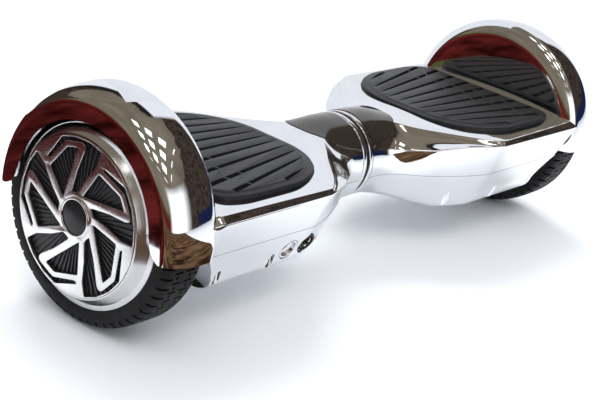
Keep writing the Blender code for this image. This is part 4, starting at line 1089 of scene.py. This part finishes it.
MOTTLE_SHARE = 0.12                 # scale of a colour's mottling, as a share of its grain's
WARM_SHARE, DARK_SHARE = 0.94, 0.86   # how far plating and turned metal darken in places
PLATE_MARKS = dict(scale=60.0, detail=6.0, stretch=(1.0, 3.0, 1.0), grain=0.7)


def simple(name, metal, colours, rough, scale, height, **settings):
    """Material with mottled colour and roughness and a fine bump."""
    middle = tuple(mix(a, b, 0.5) for a, b in zip(*colours))
    made, tree, shader, place = make_material(name, metal, middle, rough[0], **settings)
    broad, fine = noise(tree, place, scale * MOTTLE_SHARE), noise(tree, place, scale)
    feed(tree, shader, Base_Color=tint(tree, broad, *colours),
         Roughness=spread(tree, fine, *rough))
    bump(tree, shader, fine, height)
    return made


def plated_material(name, colour, rough, wave_height):
    """Mirror plating: a moulding's slight waviness, faint wiping marks and dust."""
    made, tree, shader, place = make_material(name, 1.0, colour, rough[0])
    darker = tuple(part * WARM_SHARE for part in colour)
    marks = noise(tree, place, **PLATE_MARKS)
    feed(tree, shader, Base_Color=tint(tree, noise(tree, place, 9.0, 2.0), darker, colour),
         Roughness=spread(tree, marks, *rough, 0.45, 0.75))
    bump(tree, shader, noise(tree, place, 14.0, 1.0), wave_height)
    return made


def turned_material(name, colour, rough, pitch, height):
    """Turned metal: concentric marks round the axle and a radial sheen."""
    made, tree, shader, place = make_material(name, 1.0, colour, rough[0], Anisotropic=0.5)
    turns = math_node(tree, "MULTIPLY", radius_of(tree, place), 2.0 * pi / pitch)
    darker = tuple(part * DARK_SHARE for part in colour)
    about = add_node(tree, "Tangent")
    about.direction_type = "RADIAL"
    about.axis = "X"
    feed(tree, shader, Base_Color=tint(tree, noise(tree, place, 30.0, 3.0), darker, colour),
         Roughness=spread(tree, noise(tree, place, 90.0, 2.0), *rough),
         Tangent=about.outputs["Tangent"])
    bump(tree, shader, math_node(tree, "SINE", turns), height)
    return made


LATHE_PITCH = 1.2 * MM
chrome = plated_material("plated_shell", (0.86, 0.875, 0.90), (0.035, 0.075), 0.00010)
trim = plated_material("plated_trim", (0.84, 0.84, 0.86), (0.03, 0.07), 0.00001)
smoked = simple("smoked_plastic", 0.0, ((0.020, 0.016, 0.013), (0.032, 0.026, 0.020)),
                (0.06, 0.12), 40.0, 0.00003, Coat_Weight=0.25, Coat_Roughness=0.04,
                Specular_IOR_Level=0.5)
lens = simple("clear_lens", 0.0, ((0.55, 0.62, 0.68), (0.80, 0.86, 0.90)), (0.05, 0.12), 120.0,
              0.00004, Transmission_Weight=0.35, IOR=1.49, Coat_Weight=0.5)
pad_rubber = simple("pad_rubber", 0.0, ((0.008, 0.008, 0.010), (0.016, 0.017, 0.020)),
                    (0.40, 0.52), 1500.0, 0.00004, Specular_IOR_Level=0.36)
tyre_rubber = simple("tyre_rubber", 0.0, ((0.005, 0.005, 0.006), (0.012, 0.012, 0.013)),
                     (0.50, 0.66), 1100.0, 0.00006, Specular_IOR_Level=0.22)
rim_metal = turned_material("polished_aluminium", (0.78, 0.78, 0.79), (0.15, 0.22), LATHE_PITCH,
                            0.0000012)
plate_metal = turned_material("turned_aluminium", (0.86, 0.86, 0.86), (0.22, 0.29), LATHE_PITCH,
                              0.000001)
disc_plastic = simple("black_disc", 0.0, ((0.010, 0.010, 0.012), (0.018, 0.018, 0.020)),
                      (0.32, 0.46), 900.0, 0.00004)
cap_plastic = simple("black_cap", 0.0, ((0.010, 0.010, 0.011), (0.015, 0.015, 0.016)),
                     (0.16, 0.26), 300.0, 0.00001, Specular_IOR_Level=0.3)
socket_plastic = simple("black_socket", 0.0, ((0.012, 0.012, 0.012), (0.020, 0.020, 0.021)),
                        (0.30, 0.42), 900.0, 0.00003)
cast = simple("cast_aluminium", 1.0, ((0.36, 0.36, 0.37), (0.52, 0.52, 0.54)), (0.42, 0.60), 700.0,
              0.00016)
steel = simple("ground_steel", 1.0, ((0.36, 0.36, 0.36), (0.52, 0.52, 0.53)), (0.24, 0.38), 500.0,
               0.00003)
copper = simple("copper_winding", 1.0, ((0.40, 0.15, 0.06), (0.62, 0.28, 0.13)),
                (0.25, 0.45), 900.0, 0.00018)
magnet = simple("nickel_magnet", 1.0, ((0.30, 0.29, 0.28), (0.42, 0.41, 0.40)), (0.18, 0.32), 400.0,
                0.00002)
board = simple("green_board", 0.0, ((0.008, 0.085, 0.03), (0.02, 0.16, 0.06)), (0.26, 0.42), 600.0,
               0.00010)
wrap = simple("blue_wrap", 0.0, ((0.015, 0.06, 0.22), (0.03, 0.11, 0.34)), (0.18, 0.34), 90.0,
              0.00025)
sleeve = simple("cable_sleeve", 0.0, ((0.012, 0.012, 0.012), (0.03, 0.03, 0.03)),
                (0.5, 0.7), 1400.0, 0.00012)
brass = simple("bearing_bronze", 1.0, ((0.55, 0.36, 0.13), (0.74, 0.54, 0.25)), (0.22, 0.38), 400.0,
               0.00003)
pin_metal = simple("contact_pin", 1.0, ((0.72, 0.60, 0.36), (0.83, 0.72, 0.48)),
                   (0.15, 0.25), 300.0, 0.00001)
screw_metal = simple("blackened_screw", 1.0, ((0.10, 0.10, 0.10), (0.2, 0.2, 0.2)),
                     (0.3, 0.45), 600.0, 0.00002)

# ---------------------------------------------------------------- the board
PORT_BORE = [(-15.0 * MM, 0.0), (-15.0 * MM, PORT_RADIUS + GAP),
             (8.0 * MM, PORT_RADIUS + GAP), (8.0 * MM, 0.0)]
UPPER = lifted(make_upper_shell())
LOWER = lifted(make_lower_shell())
COVER = lifted(patch(cover_block(), COVER_PROUD, COVER_DEPTH))
LAMP = lifted(make_lamp())
RING = lifted(make_ring())
PAD = lifted(make_pad())
TYRE = lifted(make_tyre())
RIM = lifted(make_rim())
PLATE = lifted(make_wheel_cover())
DISC = lifted(make_disc())
CAP = lifted(make_hub_cap())
HUB_RING = lifted(make_hub_ring())
drawn = (
    # original, piece name, part of the body, slot, material, CAD node, sharp angle
    (UPPER, "shell_top", "half", "chrome_shell", chrome, "upper_shell", 34.0),
    (LOWER, "shell_belly", "half", "chrome_shell", chrome, "lower_shell", 34.0),
    (COVER, "indicator_window", "half", "smoked_cover", smoked, "indicator_cover", 34.0),
    (LAMP, "lamp_lens", "half", "clear_lens", lens, "headlight", 30.0),
    (RING, "neck_trim", "half", "chrome_trim", trim, "neck_ring", 40.0),
    (PAD, "foot_mat", "pad", "pad_rubber", pad_rubber, "foot_pad", 42.0),
    (TYRE, "solid_tyre", "wheel", "tyre_rubber", tyre_rubber, "tyre", 34.0),
    (RIM, "rim_drum", "wheel", "polished_aluminium", rim_metal, "rim", 18.0),
    (PLATE, "petal_plate", "wheel", "polished_aluminium", plate_metal, "wheel_cover", 24.0),
    (DISC, "ribbed_disc", "wheel", "black_plastic", disc_plastic, "wheel_disc", 30.0),
    (CAP, "hub_dome", "wheel", "black_plastic", cap_plastic, "hub_cap", 40.0),
    (HUB_RING, "hub_trim", "wheel", "chrome_trim", trim, "hub_cap_ring", 50.0),
)
for hand, side in SIDES:
    for original, label, part, slot, material, node, sharp in drawn:
        piece = mirrored_copy(original, side)
        if side < 0 and original in (UPPER, LOWER):
            for along in (BUTTON_X, SOCKET_X):
                bore = scratch(port_piece(along, PORT_BORE))
                combine(piece, mirrored_copy(lifted(bore), -1))
                bpy.data.objects.remove(bore)
        finish_piece(piece, f"{hand}_{label}", f"{hand}_{part}", slot, material,
                     (f"{hand}_{node}",), sharp)
for original, *_ in drawn:
    bpy.data.objects.remove(original)

number = 0
for along in SCREW_PLACES:
    for hand_y in (-1.0, 1.0):
        number += 1
        original = lifted(make_screw(along, hand_y))
        for hand, side in SIDES:
            piece = mirrored_copy(original, side)
            finish_piece(piece, f"{hand}_screw_{number}", f"{hand}_half", "steel", screw_metal)
        bpy.data.objects.remove(original)

ports = [
    (make_bezel(), "button_rim", "left_half", "chrome_trim", trim, ("power_button_bezel",)),
    (make_button(), "button_dome", "button", "chrome_trim", trim, ("power_button",)),
    (make_socket(), "socket_cup", "left_half", "black_plastic", socket_plastic,
     ("charging_socket",)),
    (make_socket_ring(), "socket_ring", "left_half", "chrome_trim", trim, ()),
]
ports += [(make_pin(radians(turn)), f"socket_pin_{turn}", "left_half", "brass", pin_metal, ())
          for turn in (90, 210, 330)]
for original, *facts in ports:
    finish_piece(mirrored_copy(lifted(original), -1), *facts, 40.0)
    bpy.data.objects.remove(original)

# ---------------------------------------------------------------- CAD pieces that stay
BY_SLOT = {
    "chrome_shell": chrome, "chrome_trim": trim, "smoked_cover": smoked, "clear_lens": lens,
    "pad_rubber": pad_rubber, "tyre_rubber": tyre_rubber, "polished_aluminium": rim_metal,
    "cast_aluminium": cast, "steel": steel, "black_plastic": disc_plastic,
    "copper_winding": copper, "magnet": magnet, "circuit_board": board, "battery_wrap": wrap,
    "cable_sleeve": sleeve, "brass": brass,
}
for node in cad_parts.values():
    slot_name = node.data.materials[0].name.split(".")[0]
    for place in node.material_slots:
        place.material = BY_SLOT[slot_name]

# ---------------------------------------------------------------- stage
FLOOR_RADIUS = 9.0


def flat_sheet(name, corners):
    """One flat face."""
    shape = bmesh.new()
    shape.faces.new([shape.verts.new(corner) for corner in corners])
    return scratch(shape, name)


floor = flat_sheet("floor", [(a, b, 0.0) for a, b in circle(FLOOR_RADIUS, 96)])
floor_material, floor_tree, floor_shader, floor_place = make_material(
    "pale_floor", 0.0, (0.86, 0.875, 0.90), 0.55)
floor_tone = noise(floor_tree, floor_place, 1.5, 2.0)
feed(floor_tree, floor_shader,
     Base_Color=tint(floor_tree, floor_tone, (0.85, 0.865, 0.89), (0.87, 0.885, 0.91)))
floor.data.materials.append(floor_material)


LIGHT_AIM = Vector((0.0, 0.0, 0.1))
WHITE = (0.93, 0.95, 1.0)


def make_light(name, place, size, power):
    """A soft studio light that mirrors don't show."""
    light = bpy.data.lights.new(name, "AREA")
    light.shape = "RECTANGLE"
    light.size, light.size_y = size
    light.energy = power
    made = linked(name, light)
    made.rotation_euler = (LIGHT_AIM - Vector(place)).to_track_quat("-Z", "Y").to_euler()
    made.location = place
    made.visible_glossy = False


make_light("key", (0.9, 1.4, 2.3), (1.8, 1.4), 60.0)
make_light("fill", (-0.9, -1.3, 2.4), (1.6, 1.4), 28.0)

world = bpy.data.worlds.new("studio")
bpy.context.scene.world = world
world.use_nodes = True
sky = world.node_tree
ray = add_node(sky, "TexCoord").outputs["Generated"]


def arith(operation, *values, clamp=False):
    """A Math node of the world."""
    return math_node(sky, operation, *values, clamp=clamp)


def between(value, low, high, soft):
    """1 where a value lies between two bounds, with soft edges."""
    rise = arith("DIVIDE", arith("SUBTRACT", value, low), soft, clamp=True)
    fall = arith("DIVIDE", arith("SUBTRACT", high, value), soft, clamp=True)
    return arith("MULTIPLY", rise, fall)


def both(*masks):
    """Where every mask is on."""
    return reduce(lambda one, other: arith("MULTIPLY", one, other), masks)


def layer(below, colour, mask):
    """Lay a colour over what is below, where the mask says."""
    made = add_node(sky, "Mix")
    made.data_type = "RGBA"
    sky.links.new(mask, made.inputs["Factor"])
    sockets = [socket for socket in made.inputs if socket.type == "RGBA"]
    for socket, value in zip(sockets, (below, colour)):
        if isinstance(value, tuple):
            socket.default_value = (*value, 1.0)
        else:
            sky.links.new(value, socket)
    return next(socket for socket in made.outputs if socket.type == "RGBA")


def dot_with(direction):
    """How far a ray points along a direction."""
    made = add_node(sky, "VectorMath")
    made.operation = "DOT_PRODUCT"
    sky.links.new(ray, made.inputs[0])
    made.inputs[1].default_value = direction
    return made.outputs["Value"]


ray_x, ray_y, ray_z = add_node(sky, "SeparateXYZ", Vector=ray).outputs
ragged = arith("MULTIPLY", arith("SUBTRACT", noise(sky, ray, 9.0, 6.0), 0.5), 0.22)
busy = noise(sky, ray, 30.0, 6.0, (1.0, 1.0, 0.45), 0.8)

# the room: a warm grey ceiling over dark, busy shelves
room = tint(sky, busy, (0.012, 0.010, 0.010), (0.12, 0.085, 0.065), 0.40, 0.70)
room = layer(room, (0.010, 0.016, 0.06), both(between(ray_z, -0.3, 0.15, 0.03),
                                             between(ray_x, 0.5, 1.2, 0.1)))
warm = tint(sky, noise(sky, ray, 2.5, 2.0), (0.15, 0.125, 0.09), (0.25, 0.215, 0.165))
foot = arith("ADD", 0.36, arith("MULTIPLY", between(ray_x, 0.25, 2.0, 0.35), 0.46))
room = layer(room, warm, arith("DIVIDE", arith("SUBTRACT", arith("ADD", ray_z, ragged), foot),
                               0.04, clamp=True))
left_side = between(ray_x, -1.2, -0.45, 0.05)
room = layer(room, warm, both(left_side, between(ray_z, 0.18, 3.0, 0.02)))
room = layer(room, (0.08, 0.10, 0.025), both(left_side, between(ray_z, 0.13, 0.20, 0.015)))
room = layer(room, (0.15, 0.014, 0.014), both(left_side, between(ray_z, -1.0, 0.12, 0.015)))
# a bright window straight in front
window = both(between(ray_y, -2.0, -0.6, 0.1), between(ray_x, -0.50, 0.42, 0.20),
              between(ray_z, -0.4, 0.58, 0.12))
room = layer(room, (1.5, 1.5, 1.5), window)
# a grid of ceiling lamps
LAMP_AIM = Vector((-0.09, -0.40, 0.92)).normalized()
LAMP_SIDE = LAMP_AIM.cross(Vector((0.35, 0.0, 1.0))).normalized()
LAMP_UP = LAMP_SIDE.cross(LAMP_AIM)
grid_a, grid_b = dot_with(LAMP_SIDE), dot_with(LAMP_UP)
LAMP_PITCH = 0.26
GRID_HALF = 1.5 * LAMP_PITCH
near_lamps = both(between(grid_a, -GRID_HALF, GRID_HALF, 0.005),
                  between(grid_b, -GRID_HALF, GRID_HALF, 0.005),
                  between(dot_with(LAMP_AIM), 0.5, 2.0, 0.01))
cells = [between(arith("PINGPONG", arith("ADD", value, 2.0 + 0.5 * LAMP_PITCH), LAMP_PITCH / 2.0),
                 LAMP_PITCH * 0.24, 1.0, 0.012) for value in (grid_a, grid_b)]
room = layer(room, (3.2, 3.2, 3.1), both(near_lamps, *cells))
# the white backdrop behind the board, with a dark edge where it ends
backdrop = both(between(dot_with((0.81, 0.586, 0.0)), 0.38, 3.0, 0.03),
                between(ray_y, 0.10, 3.0, 0.05))
edge = arith("ADD", ray_x, ragged)
room = layer(room, (0.02, 0.016, 0.014), both(backdrop, between(edge, 0.40, 3.0, 0.02)))
room = layer(room, WHITE, both(backdrop, between(ray_x, 0.50, 3.0, 0.02)))

# mirrors see the room, and everything else an even white
backing = feed(sky, sky.nodes["Background"], Color=room)
even = add_node(sky, "Background", Color=(0.95, 0.97, 1.0, 1.0), Strength=0.9)
choose = add_node(sky, "MixShader", Fac=add_node(sky, "LightPath").outputs["Is Glossy Ray"])
sky.links.new(even.outputs[0], choose.inputs[1])
sky.links.new(backing.outputs[0], choose.inputs[2])
sky.links.new(choose.outputs[0], sky.nodes["World Output"].inputs["Surface"])


CARD_STREAKS = dict(scale=5.0, detail=8.0, stretch=(1.0, 3.0, 1.0), grain=0.7)
CARD_HEIGHT = 0.001                 # the lying cards, just over the floor


def lying(*corners):
    """Corners of a card that lies on the floor."""
    return [(x, y, CARD_HEIGHT) for x, y in corners]


def make_card(name, corners, colour, strength, shade=0.12):
    """A card that only mirrors see: it stands for the room beyond the white floor."""
    card = flat_sheet(name, corners)
    made = bpy.data.materials.new(name)
    made.use_nodes = True
    tree = made.node_tree
    tree.nodes.clear()
    streaks = noise(tree, add_node(tree, "TexCoord").outputs["Object"], **CARD_STREAKS)
    dark = tuple(part * shade for part in colour)
    glow = add_node(tree, "Emission", Color=tint(tree, streaks, dark, colour, 0.43, 0.60),
                    Strength=strength)
    add_node(tree, "OutputMaterial", Surface=glow.outputs[0])
    card.data.materials.append(made)
    card.visible_camera = False
    card.visible_diffuse = False
    card.visible_shadow = False


FAR = FLOOR_RADIUS
make_card("brown_card", lying((-FAR, -0.14), (-0.02, -0.14), (1.5, -FAR), (-FAR, -FAR)),
          (0.24, 0.135, 0.075), 1.0)
make_card("red_card", lying((-FAR, -0.139), (-0.44, -0.139), (-0.44, 0.2), (0.02, 0.2),
                            (0.02, FAR), (-FAR, FAR)), (0.15, 0.020, 0.018), 0.9)
make_card("white_card", [(x, 0.45, z) for x, z in ((0.10, 0.0), (2.5, 0.0), (2.5, 1.05),
                                                   (0.10, 1.05))], WHITE, 1.0, 0.94)

bpy.context.scene.view_settings.view_transform = "Standard"

# ---------------------------------------------------------------- camera
AZIMUTH, ELEVATION, ROLL = radians(-54.13), radians(21.05), radians(11.03)
DISTANCE = 1239.65 * MM
AIM_ACROSS, AIM_UP = -20.33 * MM, -43.19 * MM
FOCAL_LENGTH, SENSOR_WIDTH = 88.6872, 36.0          # in millimetres, as Blender takes them

camera_data = bpy.data.cameras.new("camera")
camera_data.sensor_width = SENSOR_WIDTH
camera_data.lens = FOCAL_LENGTH
camera_data.clip_start = 0.05
camera_data.clip_end = 50.0
camera = linked("camera", camera_data)
back = Vector((sin(AZIMUTH) * cos(ELEVATION), -cos(AZIMUTH) * cos(ELEVATION), sin(ELEVATION)))
right = Vector((0.0, 0.0, 1.0)).cross(back).normalized()
above = back.cross(right)
aim = Vector((0.0, 0.0, AXLE_Z)) + right * AIM_ACROSS + above * AIM_UP
rolled_right = right * cos(ROLL) + above * sin(ROLL)
rolled_up = above * cos(ROLL) - right * sin(ROLL)
camera.matrix_world = (Matrix.Translation(aim + back * DISTANCE)
                       @ Matrix((rolled_right, rolled_up, back)).transposed().to_4x4())
bpy.context.scene.camera = camera
